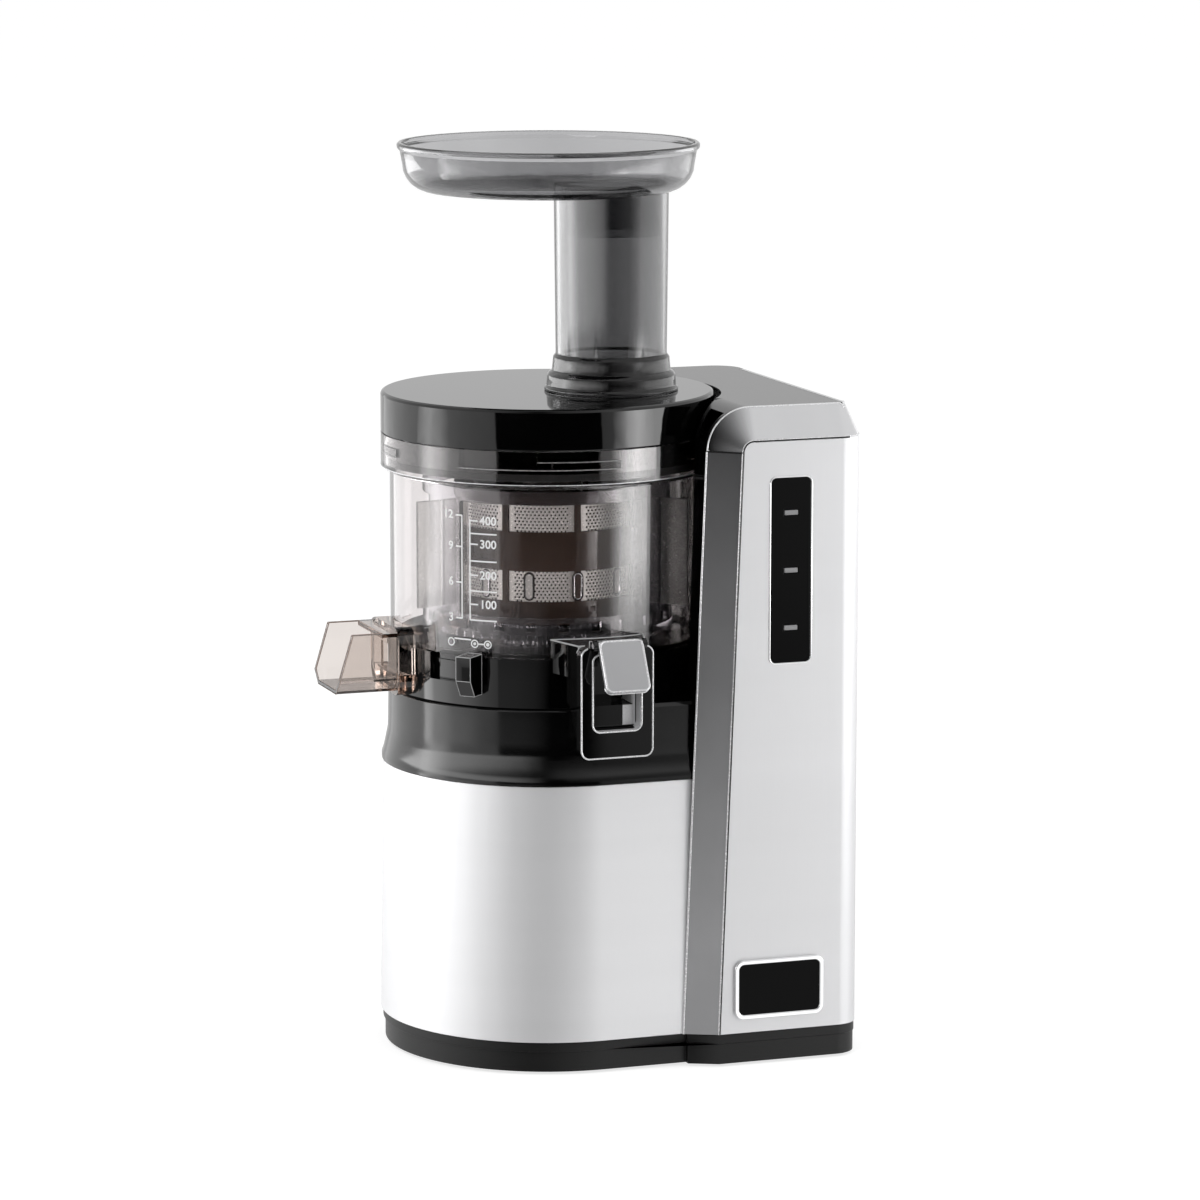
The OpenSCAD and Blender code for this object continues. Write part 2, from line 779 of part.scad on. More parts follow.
module motor_stator() {
    poles = 6;
    color(iron) placed() translate([0, 0, z_core]) linear_extrude(core_h) difference() {
        circle(r = stator_r);
        circle(r = rotor_r + 0.5);
        for (i = [0:poles - 1]) rotate(i * 360 / poles + 30) translate([(rotor_r + stator_r) / 2 - 1, 0])
            soft_rect((stator_r - rotor_r) * 0.55, 9, 2);
    }
}

module stator_windings() {
    poles = 6;
    slot = (stator_r - rotor_r) * 0.55 - 1.6;
    mid = (rotor_r + stator_r) / 2 - 1;
    color(copper) placed() {
        for (i = [0:poles - 1]) rotate([0, 0, i * 360 / poles + 30]) translate([mid, 0, z_core - 1])
            linear_extrude(core_h + 2) soft_rect(slot, 7.4, 1.6);
        for (z = [z_core - 8, z_core + core_h + 0.8]) ring(mid + slot / 2, mid - slot / 2, z, z + 7.2);
    }
}

module motor_bell_lower() {
    color(iron) placed() difference() {
        union() {
            disc(stator_r + 2.5, z_bell, z_bell + 3);
            ring(stator_r + 2.5, stator_r - 2, z_bell + 3, z_core);
            disc(bearing_r + 3, z_bell, z_bell + bearing_h + 1);
            for (a = [45:90:315]) rotate([0, 0, a]) box(stator_r - 1, -5, z_bell, stator_r + 12, 5,
                z_bell + 3);
        }
        disc(bearing_r + running, z_bell + 1.2, z_bell + bearing_h + 2);
        disc(shaft_r + 1, z_bell - 1, z_bell + 3);
        for (a = [0:60:300]) rotate([0, 0, a]) translate([28, 0, z_bell - 1]) linear_extrude(5)
            soft_rect(12, 8, 3);
    }
}

module motor_bell_upper() {
    z = z_bell_top;
    color(iron) placed() difference() {
        union() {
            disc(stator_r + 2.5, z - 3, z);
            ring(stator_r + 2.5, stator_r - 2, z_core + core_h, z - 3);
            disc(bearing_r + 3, z - bearing_h - 2, z);
        }
        disc(bearing_r + running, z - bearing_h - 3, z - 1.6);
        disc(shaft_r + 1, z - 5, z + 1);
        for (a = [0:60:300]) rotate([0, 0, a]) translate([28, 0, z - 5]) linear_extrude(7)
            soft_rect(12, 8, 3);
    }
}

module bearing(z, r_in) {
    ring(bearing_r, r_in + running, z, z + bearing_h);
}

module motor_bearings() {
    color(steel) placed() {
        bearing(z_bell + 1.2, shaft_r);
        bearing(z_bell_top - 1.6 - bearing_h, shaft_r);
    }
}

module motor_mounts() {
    color(rubber) placed() for (a = [45:90:315]) {
        rotate([0, 0, a]) translate([stator_r + 5.5, 0, 0]) disc(4.5, foot_rise + 3, z_bell);
    }
}

module rotor_core() {
    color(iron) placed() translate([0, 0, z_core]) linear_extrude(core_h) difference() {
        circle(r = rotor_r);
        circle(r = shaft_r + running);
        for (a = [0:30:330]) rotate(a) translate([rotor_r - 3.5, 0]) circle(r = 1.4, $fn = 16);
    }
}

module rotor_shaft() {
    color(steel) placed() {
        disc(shaft_r, z_fan, z_wheel1 + gear_face + 1);
        translate([0, 0, z_wheel1]) linear_extrude(gear_face) rotate(180) gear_plan(pinion_teeth,
            gear_m, backlash / 2);
    }
}

module fan() {
    blades = 11;
    color(nylon) placed() {
        difference() {
            disc(9, z_fan, z_fan + 10);
            disc(shaft_r + running, z_fan - 1, z_fan + 11);
        }
        ring(34, 8, z_fan, z_fan + 1.4);
        for (i = [0:blades - 1]) rotate([0, 0, i * 360 / blades]) translate([8, 3, z_fan + 1])
            linear_extrude(8) rotate(-18) square([25, 1.4]);
    }
}

// ---------- gearbox ----------

box_r = wheel_pitch_r + gear_m + 2.2;

module gearbox_plan(r) {
    circle(r = r);
    translate([counter_x, 0]) circle(r = r);
    rect(counter_x, -r * 0.85, 0, r * 0.85);
}

module gearbox_tub() {
    h = z_box_lid - z_tub;
    color(nylon) placed() difference() {
        translate([0, 0, z_tub]) linear_extrude(h) gearbox_plan(box_r + gear_wall);
        translate([0, 0, z_tub + gear_wall]) linear_extrude(h) gearbox_plan(box_r);
        disc(shaft_r + 3, z_tub - 1, z_tub + 4);
        translate([counter_x, 0, 0]) disc(shaft_r + running, z_tub + 0.8, z_tub + 4);
    }
    color(nylon) placed() ring(stator_r, stator_r - 3, z_bell_top, z_tub + e);
}

module gearbox_lid() {
    color(nylon) placed() difference() {
        union() {
            translate([0, 0, z_box_lid]) linear_extrude(3) gearbox_plan(box_r + gear_wall);
            disc(bearing_r + 3, z_box_lid, z_box_lid + bearing_h + 1.2);
            translate([counter_x, 0, 0]) disc(shaft_r + 3, z_box_lid, z_box_lid + 6);
            at_lid_posts() disc(4, z_box_lid, z_deck - 3);
        }
        disc(bearing_r + running, z_box_lid + 1.2, z_box_lid + bearing_h + 2);
        disc(output_r + 1, z_box_lid - 1, z_box_lid + 3);
        translate([counter_x, 0, 0]) disc(shaft_r + running, z_box_lid - 1, z_box_lid + 5);
    }
}

// posts that hang the gearbox from the deck
module at_lid_posts() {
    for (a = [-60, 60, 180]) rotate([0, 0, a]) translate([box_r - 4, 0, 0]) children();
}

module output_bearings() {
    color(steel) placed() {
        bearing(z_box_lid + 1.2, output_r);
        bearing(z_deck - 5 - bearing_h, output_r);
    }
}

module counter_wheel() {
    color(nylon) placed() translate([counter_x, 0, z_wheel1 + 0.5]) linear_extrude(gear_face - 1)
        difference() {
        rotate(180 / wheel_teeth) gear_plan(wheel_teeth, gear_m, backlash / 2);
        circle(r = shaft_r + 2 + running, $fn = 6);
    }
}

module counter_shaft() {
    color(steel) placed() translate([counter_x, 0, 0]) {
        disc(shaft_r, z_tub + 0.8, z_box_lid + 5);
        translate([0, 0, z_wheel1 - 0.5]) cylinder(r = shaft_r + 2, h = gear_face + 1, $fn = 6);
        translate([0, 0, z_wheel2 - 1]) linear_extrude(gear_face + 1.5) gear_plan(pinion_teeth, gear_m,
            backlash / 2);
    }
}

module output_wheel() {
    color(iron) placed() translate([0, 0, z_wheel2]) linear_extrude(gear_face - 1) difference() {
        rotate(180 + 180 / wheel_teeth) gear_plan(wheel_teeth, gear_m, backlash / 2);
        circle(r = output_r + 2 + running, $fn = 6);
    }
}

module output_shaft() {
    color(steel) placed() {
        disc(output_r, z_wheel2 + gear_face - 1.5, z_deck + 9);
        translate([0, 0, z_wheel2 - 0.5]) cylinder(r = output_r + 2, h = gear_face - 0.5, $fn = 6);
        translate([0, 0, z_deck + 9 - e]) cylinder(r = hex_r, h = z_gear + 8 - z_deck - 9 + e, $fn = 6);
    }
}

// ---------- chamber ----------

lever_angle = 270 - lever_at;

module drum_base() {
    color(black) placed() difference() {
        union() {
            ring(top_r, top_r - ring_t, z_deck, z_drum);
            disc(top_r - 1, web_z, web_z + web_t);
            ring(hub_r, output_r + 1, web_z - 2, z_floor - floor_t);
        }
        disc(output_r + 1, web_z - 3, z_drum);
        disc(seal_r + running, z_floor - floor_t - 4.2, z_drum);
        // slot for the lever
        sector(top_r + 1, top_r - 6, web_z + web_t + 2, z_drum + 1,
            lever_angle - lever_travel - 4.5, lever_angle + 4.5);
        // way out of the pulp
        box(-top_r - 2, -pulp_w / 2 + 3, web_z + web_t, -top_r + 20, pulp_w / 2 - 3, z_drum + 1);
        // drain ledge under the juice spout
        box(-plate_w / 2 + 5, -top_r - 1, z_deck + 14, plate_w / 2 - 5, -top_r + 3.5, z_drum + 1);
    }
}

module pulp_hole(z0, z1, grow) {
    sector(pulp_out + grow, pulp_in - grow, z0, z1, 180 - pulp_half_angle - grow,
        180 + pulp_half_angle + grow);
}

module drum() {
    seat_r = top_r - ring_t - fit;
    color(clear) placed() difference() {
        union() {
            // floor plug, wall, shoulder and collar
            rotate_extrude($fn = 128) polygon([[0, z_floor - floor_t], [seat_r, z_floor - floor_t],
                [seat_r, z_drum],
                [drum_r, z_drum], [drum_r, z_collar - 1.5], [lid_r - 1, z_collar], [lid_r, z_collar + 1],
                [lid_r, z_lid], [lid_r - collar_t, z_lid], [lid_r - collar_t, z_collar + 2.4],
                [drum_in, z_collar + 2.4], [drum_in, z_floor + 2], [drum_in - 2, z_floor], [0, z_floor]]);
            // boss that carries the strainer
            ring(boss_out, boss_in, z_floor - e, z_strainer);
            ring(11.5, output_r + 1.2, z_floor - e, z_gear - 0.1);
        }
        disc(output_r + 1.2, z_floor - floor_t - 1, z_floor + 5);
        pulp_hole(z_floor - floor_t - 1, z_strainer + 1, 0);
        // pocket that the idler turns in
        translate([0, idler_y, z_floor]) cylinder(r = idler_pitch_r + brush_m + 0.7, h = 30);
        // mouth of the juice spout
        box(-9, -drum_r - 2, z_floor + 1, 9, -drum_in + 6, z_floor + 8.4);
        bayonet_grooves();
    }
}

tab_z = z_lid - 8.4;
tab_h = 3;
tab_span = 24;
lid_travel = 30;

module at_tabs() {
    for (a = [0:90:270]) rotate([0, 0, a + 252]) children();
}

module bayonet_grooves() {
    at_tabs() {
        sector(skirt_r + fit + 2, skirt_r, tab_z - fit, tab_z + tab_h + fit, -lid_travel - 2, tab_span + 1);
        sector(skirt_r + fit + 2, skirt_r, tab_z, z_lid + 1, -lid_travel - 2, -lid_travel + tab_span + 2);
    }
}

module drive_seal() {
    color(rubber) placed() ring(seal_r, output_r + fit, z_floor - floor_t - 4.2, z_floor - floor_t);
}

module idler_pin() {
    color(steel) placed() translate([0, idler_y, z_floor]) {
        cylinder(r = 2.5, h = chamber_face + 1);
    }
}

band_low = [z_strainer + 10.4, z_strainer + 26];
band_high = [z_strainer + 43.4, z_strainer_top - 5.4];

screen_in = strainer_r + 0.8;
screen_out = strainer_r + 2;
strainer_ribs = 8;

module strainer_frame() {
    color(brown) placed() difference() {
        rotate_extrude($fn = 128) polygon([[insert_r + 1, z_strainer], [strainer_out, z_strainer],
            [strainer_out, z_strainer_top], [strainer_r, z_strainer_top], [strainer_r, z_strainer + 2.4],
            [insert_r + 1, z_strainer + 2.4]]);
        for (b = [band_low, band_high]) {
            ring(screen_out, screen_in, b[0], b[1]);
            for (i = [0:strainer_ribs - 1]) {
                a = i * 360 / strainer_ribs;
                sector(strainer_out + 1, strainer_r - 1, b[0] + 0.6, b[1] - 0.6, a + 2,
                    a + 360 / strainer_ribs - 2);
            }
        }
        pulp_hole(z_strainer - 1, z_strainer + 4, 0.5);
    }
}

module strainer_screen() {
    color(steel) placed() for (b = [band_low, band_high]) {
        ring(screen_out - running, screen_in + running, b[0] + running, b[1] - running);
    }
}

brush_posts = 3;
brush_at = 195;
brush_t = 2.5;

module brush_frame() {
    z0 = z_gear;
    z1 = z_gear + chamber_face;
    rim = ring_pitch_r + brush_m * 1.25 + 3;
    z_end = z_collar - 5;
    foot = 8;
    color(smoke) placed() difference() {
        rotate_extrude($fn = 128) polygon([[boss_in, z0], [rim, z0], [rim, z1 - brush_t], [brush_r,
            z1 - brush_t],
            [brush_r, z_end], [brush_r - brush_t, z_end], [brush_r - brush_t, z1], [boss_in, z1]]);
        // inside teeth
        translate([0, 0, z0 - 1]) linear_extrude(chamber_face + 3)
            rotate(90) gear_plan(ring_teeth, brush_m, -backlash / 2, add = 1.25, ded = 0.8);
        // large windows between the posts
        for (i = [0:brush_posts - 1]) {
            a = i * 360 / brush_posts + brush_at;
            sector(brush_r + 1, brush_r - brush_t - 1, z1 + foot, z_end - 6, a + 13,
                a + 360 / brush_posts - 13);
        }
        // row of small slots round the foot
        for (i = [0:23]) rotate([0, 0, i * 15 + 4]) box(brush_r - 4, -2.6, z1 + 1.5, brush_r + 1, 2.6,
            z1 + 6);
    }
}

wiper_t = 1.8;

module wipers() {
    z0 = z_gear + chamber_face + 10;
    z1 = z_collar - 12;
    seat = 0.1;
    color(white) placed() for (i = [0:brush_posts - 1]) rotate([0, 0, i * 360 / brush_posts + brush_at]) {
        box(strainer_out + 0.4, -wiper_t / 2, z0, brush_r - brush_t - seat, wiper_t / 2, z1);
        box(brush_r + seat, -wiper_t / 2, z0, drum_in - 0.5, wiper_t / 2, z1);
    }
}

module idler_gear() {
    color(nylon) placed() translate([0, idler_y, z_gear]) linear_extrude(chamber_face) difference() {
        rotate(90) gear_plan(idler_teeth, brush_m, backlash / 2);
        circle(r = 2.5 + running, $fn = 48);
    }
}

module screw_gear() {
    color(dark) placed() translate([0, 0, z_gear]) linear_extrude(chamber_face) difference() {
        rotate(90 + 180 / screw_teeth) gear_plan(screw_teeth, brush_m, backlash / 2);
        circle(r = insert_r + running, $fn = 6);
    }
}

module screw_insert() {
    color(steel) placed() translate([0, 0, z_gear]) difference() {
        cylinder(r = insert_r, h = z_screw + 10 - z_gear, $fn = 6);
        translate([0, 0, -1]) cylinder(r = socket_r, h = 9.4 + 1, $fn = 6);
    }
}

// one level of the pressing screw: a round core with helical flights
module screw_level(z, h, turn, levels, core, tip, starts, foot, top, taper) {
    arcs = 4;
    gap_angle = 360 / starts - 1.5 * foot;
    translate([0, 0, z]) linear_extrude(h, twist = turn, slices = levels, scale = taper, $fn = 8)
        polygon([for (i = [0:starts - 1]) for (q = concat(
            [[core, -foot], [tip, -top / 2], [tip, top / 2]],
            [for (k = [0:arcs - 1]) [core, foot / 2 + gap_angle * k / arcs]]))
            let (a = i * 360 / starts + q[1]) [q[0] * cos(a), q[0] * sin(a)]]);
}

module screw() {
    h_low = (z_screw_top - z_screw) * 0.44;
    h_high = z_screw_top - z_screw - h_low;
    color(dark) placed() difference() {
        union() {
            // crushing part: low ridges on a thick core
            screw_level(z_screw, h_low, 110, 12, screw_r * 0.86, screw_r, 6, 13, 5, 1);
            // feeding part: two tall flights on a thin core
            screw_level(z_screw + h_low - e, h_high, 230, 24, screw_r * 0.42, screw_r * 0.985, 2, 16,
                8, 0.94);
        }
        translate([0, 0, z_screw - 1]) cylinder(r = insert_r + running, h = 11 + fit, $fn = 6);
        translate([0, 0, z_screw_top - 12]) cylinder(r = top_pin_r + running, h = 20, $fn = 6);
    }
}

module screw_pin() {
    color(steel) placed() {
        translate([0, 0, z_screw_top - 11.5]) cylinder(r = top_pin_r, h = 11.5 + e, $fn = 6);
        disc(top_pin_r, z_screw_top, z_lid_top - 5);
    }
}

// ---------- spouts, flap and lever ----------

module juice_spout() {
    w = plate_w / 2;
    z0 = z_deck + plate_low;
    z1 = z_drum + 9.5;
    plate_t = 7;
    color(black) placed() difference() {
        union() {
            // front plate
            face_plate(-plate_y, -plate_y + plate_t) translate([0, (z0 + z1) / 2]) soft_rect(plate_w,
                z1 - z0, 4);
            // duct from the drum down to the plate
            translate([-w + 1.5, 0, 0]) rotate([90, 0, 90]) linear_extrude(plate_w - 3)
                polygon([[-plate_y + plate_t - e, z0 + 3], [-plate_y + plate_t + 3, z0 + 6],
                    [-top_r - 3, z_deck + 2], [-top_r + 6, z_deck + 4], [-top_r + 6, z1],
                        [-plate_y + plate_t - e, z1]]);
            // cheeks that widen towards the drum
            translate([0, 0, z_drum - 6]) linear_extrude(z1 - z_drum + 6)
                polygon([[-w + 1, -plate_y + plate_t - e], [w - 1, -plate_y + plate_t - e], [w + 6,
                    -drum_r + 6],
                    [-w - 6, -drum_r + 6]]);
            for (sx = [-1, 1]) hinge_ear(sx);
        }
        // seat against the ring and the drum
        disc(top_r + fit, z0 - 1, z_drum + fit);
        disc(drum_r + fit, z_drum, z1 + 1);
        // window and the drop behind it
        face_plate(-plate_y - 1, -plate_y + plate_t + e) translate([0, (z_drum + 6.2 + z0 + 12.5) / 2])
            soft_rect(window_w, z_drum + 6.2 - z0 - 12.5, 3.5);
        box(-window_w / 2 + 2, -plate_y + plate_t - 1, z_deck + 4, window_w / 2 - 2, -top_r - 3,
            z_drum + 6.2);
        box(-9, -top_r - 4, z_drum + 1, 9, -top_r + 10, z_drum + 6.2);
    }
}

ear_t = 2;
pin_r = 1.3;
barrel_r = 2.5;

module hinge_ear(sx) {
    x = sx * (flap_w / 2 + 0.4 + ear_t / 2);
    translate([x - ear_t / 2, 0, 0]) rotate([90, 0, 90]) linear_extrude(ear_t) difference() {
        union() {
            translate([flap_hinge_y, flap_hinge_z]) circle(r = barrel_r);
            rect(flap_hinge_y, flap_hinge_z - barrel_r, -plate_y + 2, flap_hinge_z + barrel_r - 1);
        }
        translate([flap_hinge_y, flap_hinge_z]) circle(r = pin_r + running);
    }
}

module flap_pin() {
    color(steel) placed() translate([-flap_w / 2 - 0.4 - ear_t, flap_hinge_y, flap_hinge_z]) rotate([0,
        90, 0])
        cylinder(r = pin_r, h = flap_w + 2 * (0.4 + ear_t));
}

module at_flap() {
    translate([0, flap_hinge_y, flap_hinge_z]) rotate([-flap_open, 0, 0]) children();
}

module juice_flap() {
    color(steel) placed() at_flap() difference() {
        union() {
            face_plate(-flap_t, 0) translate([0, -flap_l / 2 + flap_over]) soft_rect(flap_w, flap_l, 3);
            translate([-flap_w / 2, 0, 0]) rotate([0, 90, 0]) cylinder(r = barrel_r, h = flap_w);
        }
        translate([-flap_w, 0, 0]) rotate([0, 90, 0]) cylinder(r = pin_r + running, h = 2 * flap_w);
    }
}

module flap_seal() {
    color(rubber) placed() at_flap()
        face_plate(0, 1.8) translate([0, -flap_l / 2 - 1]) soft_rect(flap_w - 5, flap_l - 11, 3);
}

module pulp_spout() {
    w = pulp_w / 2;
    t = 2;
    z0 = z_deck + 2;
    z1 = z_drum + 7.4;
    slant = 7;
    chamfer = 6;
    duct = 12;
    color(pink) placed() difference() {
        union() {
            // trough
            difference() {
                translate([-pulp_reach, 0, 0]) rotate([90, 0, 90]) linear_extrude(pulp_reach - top_r + 4)
                    polygon([[-w, z1], [-w, z0 + chamfer], [-w + chamfer, z0], [w - chamfer, z0], [w,
                        z0 + chamfer], [w, z1]]);
                translate([-pulp_reach - 1, 0, 0]) rotate([90, 0, 90]) linear_extrude(pulp_reach + 2)
                    polygon([[-w + t, z1 + 1], [-w + t, z0 + chamfer + t * 0.4],
                        [-w + chamfer + t * 0.4, z0 + t],
                        [w - chamfer - t * 0.4, z0 + t], [w - t, z0 + chamfer + t * 0.4], [w - t, z1 + 1]]);
            }
            // roof over the inner half and the collar round its root
            box(-top_r - 12, -w + e, z1 - t, -top_r + 4, w - e, z1);
            translate([-top_r - 5, 0, (z_deck + z1 + 2) / 2]) rotate([90, 0, 90]) linear_extrude(9)
                soft_rect(pulp_w + 5, z1 + 2 - z_deck, 8);
            // duct below the drum floor
            box(-top_r - 2, -duct / 2 - t, web_z + web_t + 0.2, -hub_r - 1, duct / 2 + t, gate_z - fit);
        }
        // slanted mouth
        translate([0, w + 1, 0]) rotate([90, 0, 0]) linear_extrude(pulp_w + 2)
            polygon([[-pulp_reach - 1, z0 + chamfer], [-pulp_reach, z0 + chamfer],
                [-pulp_reach + slant, z1 + 1], [-pulp_reach - 1, z1 + 1]]);
        // inside of the duct and of the root
        box(-top_r - 10, -duct / 2, web_z + web_t + 1.6, -hub_r - 4, duct / 2, z_drum);
        box(-top_r - 4, -w + t, web_z + web_t + 1.6, -top_r + 20, w - t, z1 - t);
        // seat on the ring, the drum and the deck
        disc(top_r + fit, z_deck - 20, web_z + web_t + 0.1);
        disc(drum_r + fit, z_drum - fit, z1 + 40);
        difference() {
            ring(top_r + fit, top_r - ring_t - fit, web_z, z_drum);
            box(-top_r - 3, -pulp_w / 2 + 3 + fit, web_z - 1, -top_r + 20, pulp_w / 2 - 3 - fit, z_drum);
        }
        box(-top_r + ring_t + fit, duct / 2 + t, 0, 0, 60, z_top);
        box(-top_r + ring_t + fit, -60, 0, 0, -duct / 2 - t, z_top);
        box(-200, -60, z_deck - 30, 0, 60, z_deck + fit);
    }
}

module pulp_lever() {
    a = lever_angle;
    color(black) placed() difference() {
        union() {
            // finger fin
            rotate([0, 0, a]) box(top_r + 1.2, -lever_t / 2, z_deck + 6, lever_reach, lever_t / 2,
                z_drum + 2);
            // neck through the slot
            rotate([0, 0, a]) box(pulp_out + 2, -3, gate_z, top_r + 2, 3, gate_z + gate_t);
            // curved shutter behind the slot
            sector(top_r - ring_t - 0.5, top_r - ring_t - 2.1, web_z + web_t + 0.4, gate_z + gate_t,
                a - lever_travel - 5.5, a + 5);
            // gate under the drum floor
            sector(pulp_out + 4, hub_r + 0.6, gate_z, gate_z + gate_t, 162, a + 5);
        }
        sector(pulp_out, pulp_in, gate_z - 1, gate_z + gate_t + 1,
            180 + lever_travel - pulp_half_angle, 180 + lever_travel + pulp_half_angle);
        // sloping lower front of the fin
        rotate([0, 0, a]) translate([lever_reach - 5, -lever_t, z_deck + 5]) rotate([0, 30, 0])
            cube([12, 2 * lever_t, 40], center = false);
    }
}

// ---------- lid, chute and tray ----------

module lid() {
    color(black) placed() difference() {
        union() {
            // top, rim and skirt
            rotate_extrude($fn = 128) polygon([[0, z_lid_top - 3], [lid_r - 3, z_lid_top - 3],
                [lid_r - 3, z_lid + 2.5], [skirt_r - skirt_t, z_lid + 2.5], [skirt_r - skirt_t,
                    z_lid - 11],
                [skirt_r, z_lid - 11], [skirt_r, z_lid + 0.1], [lid_r - 0.4, z_lid + 0.1], [lid_r,
                    z_lid + 0.6],
                [lid_r - 0.8, z_lid_top - 1.6], [lid_r - 1.3, z_lid_top - 0.5], [lid_r - 2.4, z_lid_top], [0,
                    z_lid_top]]);
            disc(top_pin_r + 2, z_screw_top + 3, z_lid_top - 1);
            at_tabs() sector(skirt_r + 1.9, skirt_r - 0.5, tab_z, tab_z + tab_h, 1, tab_span);
        }
        disc(top_pin_r + running, z_screw_top, z_lid_top - 4);
        translate([chute_x, chute_y, z_lid - 20]) cylinder(r = chute_r - chute_t, h = 60);
    }
}

module lid_seal() {
    color(rubber) placed() ring(skirt_r - 0.2, skirt_r - skirt_t, z_collar + 2.4 + 0.1, z_lid - 11);
}

module chute() {
    color(smoke) placed() translate([chute_x, chute_y, z_lid_top]) rotate_extrude($fn = 96)
        polygon([[chute_r - chute_t, 0], [chute_r + 4.6, 0], [chute_r + 4.6, 1.6], [chute_r + 3.6, 2.6],
            [chute_r + 3.2, 7.5], [chute_r + 2.2, 8.8], [chute_r + 1, 9.6], [chute_r + 0.4, 16],
                [chute_r - chute_draft, 17.5],
            [chute_r, chute_h], [chute_r - chute_t, chute_h]]);
}

module feed_tray() {
    t = 2.2;
    r = tray_r;
    z0 = z_chute_top;
    inner_r = chute_r - chute_t - 0.2;
    steps = 6;
    round_out = 13;
    round_in = round_out - t;
    color(smoke) placed() difference() {
        union() {
            translate([tray_x, 0, 0]) rotate_extrude($fn = 128) polygon(concat(
                [[0, z0]],
                [for (i = [0:steps]) [r - 2.5 - round_out + round_out * sin(i * 90 / steps),
                    z0 + round_out - round_out * cos(i * 90 / steps)]],
                [[r - 1.4, z_top - 4], [r, z_top - 2.4], [r, z_top - 0.8], [r - 0.8, z_top], [r - 2.2,
                    z_top],
                    [r - 3.6, z_top - 4]],
                [for (i = [steps:-1:0]) [r - 4.7 - round_in + round_in * sin(i * 90 / steps),
                    z0 + t + round_in - round_in * cos(i * 90 / steps)]],
                [[0, z0 + t]]));
            translate([chute_x, chute_y, z0 - 20]) cylinder(r = inner_r, h = 20 + t);
        }
        translate([chute_x, chute_y, z0 - 21]) cylinder(r = inner_r - 2, h = 60);
    }
}

base_tray();
feet();
base_screws();
body_skin();
upper_housing();
tower_shell();
tower_front();
tower_trim_side();
tower_trim_top();
tower_cap();
panel();
badge_plate();
badge_frame();
control_board();
switches();
cord_gland();
power_board();
motor_stator();
stator_windings();
motor_bell_lower();
motor_bell_upper();
motor_bearings();
motor_mounts();
gearbox_tub();
gearbox_lid();
output_bearings();
rotor_core();
rotor_shaft();
fan();
counter_wheel();
counter_shaft();
output_wheel();
output_shaft();
drum_base();
drum();
drive_seal();
strainer_frame();
strainer_screen();
juice_spout();
pulp_spout();
idler_pin();
flap_pin();
screw();
screw_gear();
screw_insert();
screw_pin();
brush_frame();
wipers();
idler_gear();
pulp_lever();
juice_flap();
flap_seal();
lid();
lid_seal();
chute();
feed_tray();
button_forward();
button_power();
button_reverse();
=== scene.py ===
import json
import math

import bmesh
import bpy
from mathutils import Matrix, Vector


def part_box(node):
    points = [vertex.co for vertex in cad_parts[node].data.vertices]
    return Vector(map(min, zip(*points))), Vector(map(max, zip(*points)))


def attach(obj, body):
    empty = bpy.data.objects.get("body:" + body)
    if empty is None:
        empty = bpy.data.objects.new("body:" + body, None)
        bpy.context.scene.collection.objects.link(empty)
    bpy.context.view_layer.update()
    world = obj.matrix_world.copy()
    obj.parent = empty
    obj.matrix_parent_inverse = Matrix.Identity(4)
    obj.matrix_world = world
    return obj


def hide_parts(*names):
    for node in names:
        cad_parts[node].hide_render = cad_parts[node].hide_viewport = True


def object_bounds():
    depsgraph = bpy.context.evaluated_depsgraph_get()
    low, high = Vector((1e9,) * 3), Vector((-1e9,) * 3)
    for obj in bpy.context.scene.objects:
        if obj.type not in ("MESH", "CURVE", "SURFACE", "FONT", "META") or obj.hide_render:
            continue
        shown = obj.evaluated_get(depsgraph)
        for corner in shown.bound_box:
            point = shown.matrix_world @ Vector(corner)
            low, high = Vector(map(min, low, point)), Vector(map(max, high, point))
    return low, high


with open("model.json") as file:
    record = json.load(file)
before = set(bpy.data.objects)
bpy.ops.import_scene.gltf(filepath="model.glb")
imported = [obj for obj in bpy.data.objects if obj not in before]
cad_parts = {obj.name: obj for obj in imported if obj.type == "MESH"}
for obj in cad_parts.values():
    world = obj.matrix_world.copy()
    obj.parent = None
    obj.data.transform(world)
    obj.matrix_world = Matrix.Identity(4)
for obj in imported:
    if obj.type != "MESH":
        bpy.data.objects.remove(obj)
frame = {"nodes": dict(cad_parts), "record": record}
cad_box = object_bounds()

MM = 0.001
MERGE = 2e-6                        # corners nearer than this, in metres, are one
FLAT = math.radians(0.4)            # facets that meet at less than this are one face
SHARP = math.radians(28)            # edges that turn by more than this get a bevel or an outline

BODY_OF = {n: b for b, ns in frame["record"]["behaviour"]["bodies"].items() for n in ns}
SLOT_OF = {s["node"]: s["material_slot"] for s in frame["record"]["subparts"]}
DRUM_LO, DRUM_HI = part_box("drum")
AXIS = (DRUM_LO + DRUM_HI) / 2      # the chamber's upright axis


def at(x, y, z):
    """A point given in millimetres round the chamber's axis."""
    return Vector((AXIS.x + x * MM, AXIS.y + y * MM, z * MM))


def local(p):
    """What at() takes, from a point."""
    return ((p.x - AXIS.x) / MM, (p.y - AXIS.y) / MM, p.z / MM)


def polar(radius, angle, z):
    """A point from its distance and its angle round the chamber's axis, in metres."""
    return Vector((AXIS.x + radius * math.cos(angle), AXIS.y + radius * math.sin(angle), z))


def linked(name, data):
    """A new object in the scene."""
    obj = bpy.data.objects.new(name, data)
    bpy.context.scene.collection.objects.link(obj)
    return obj


def from_bmesh(name, bm):
    """A new object with the mesh that bm holds, and the end of bm."""
    mesh = bpy.data.meshes.new(name)
    bm.to_mesh(mesh)
    bm.free()
    return linked(name, mesh)


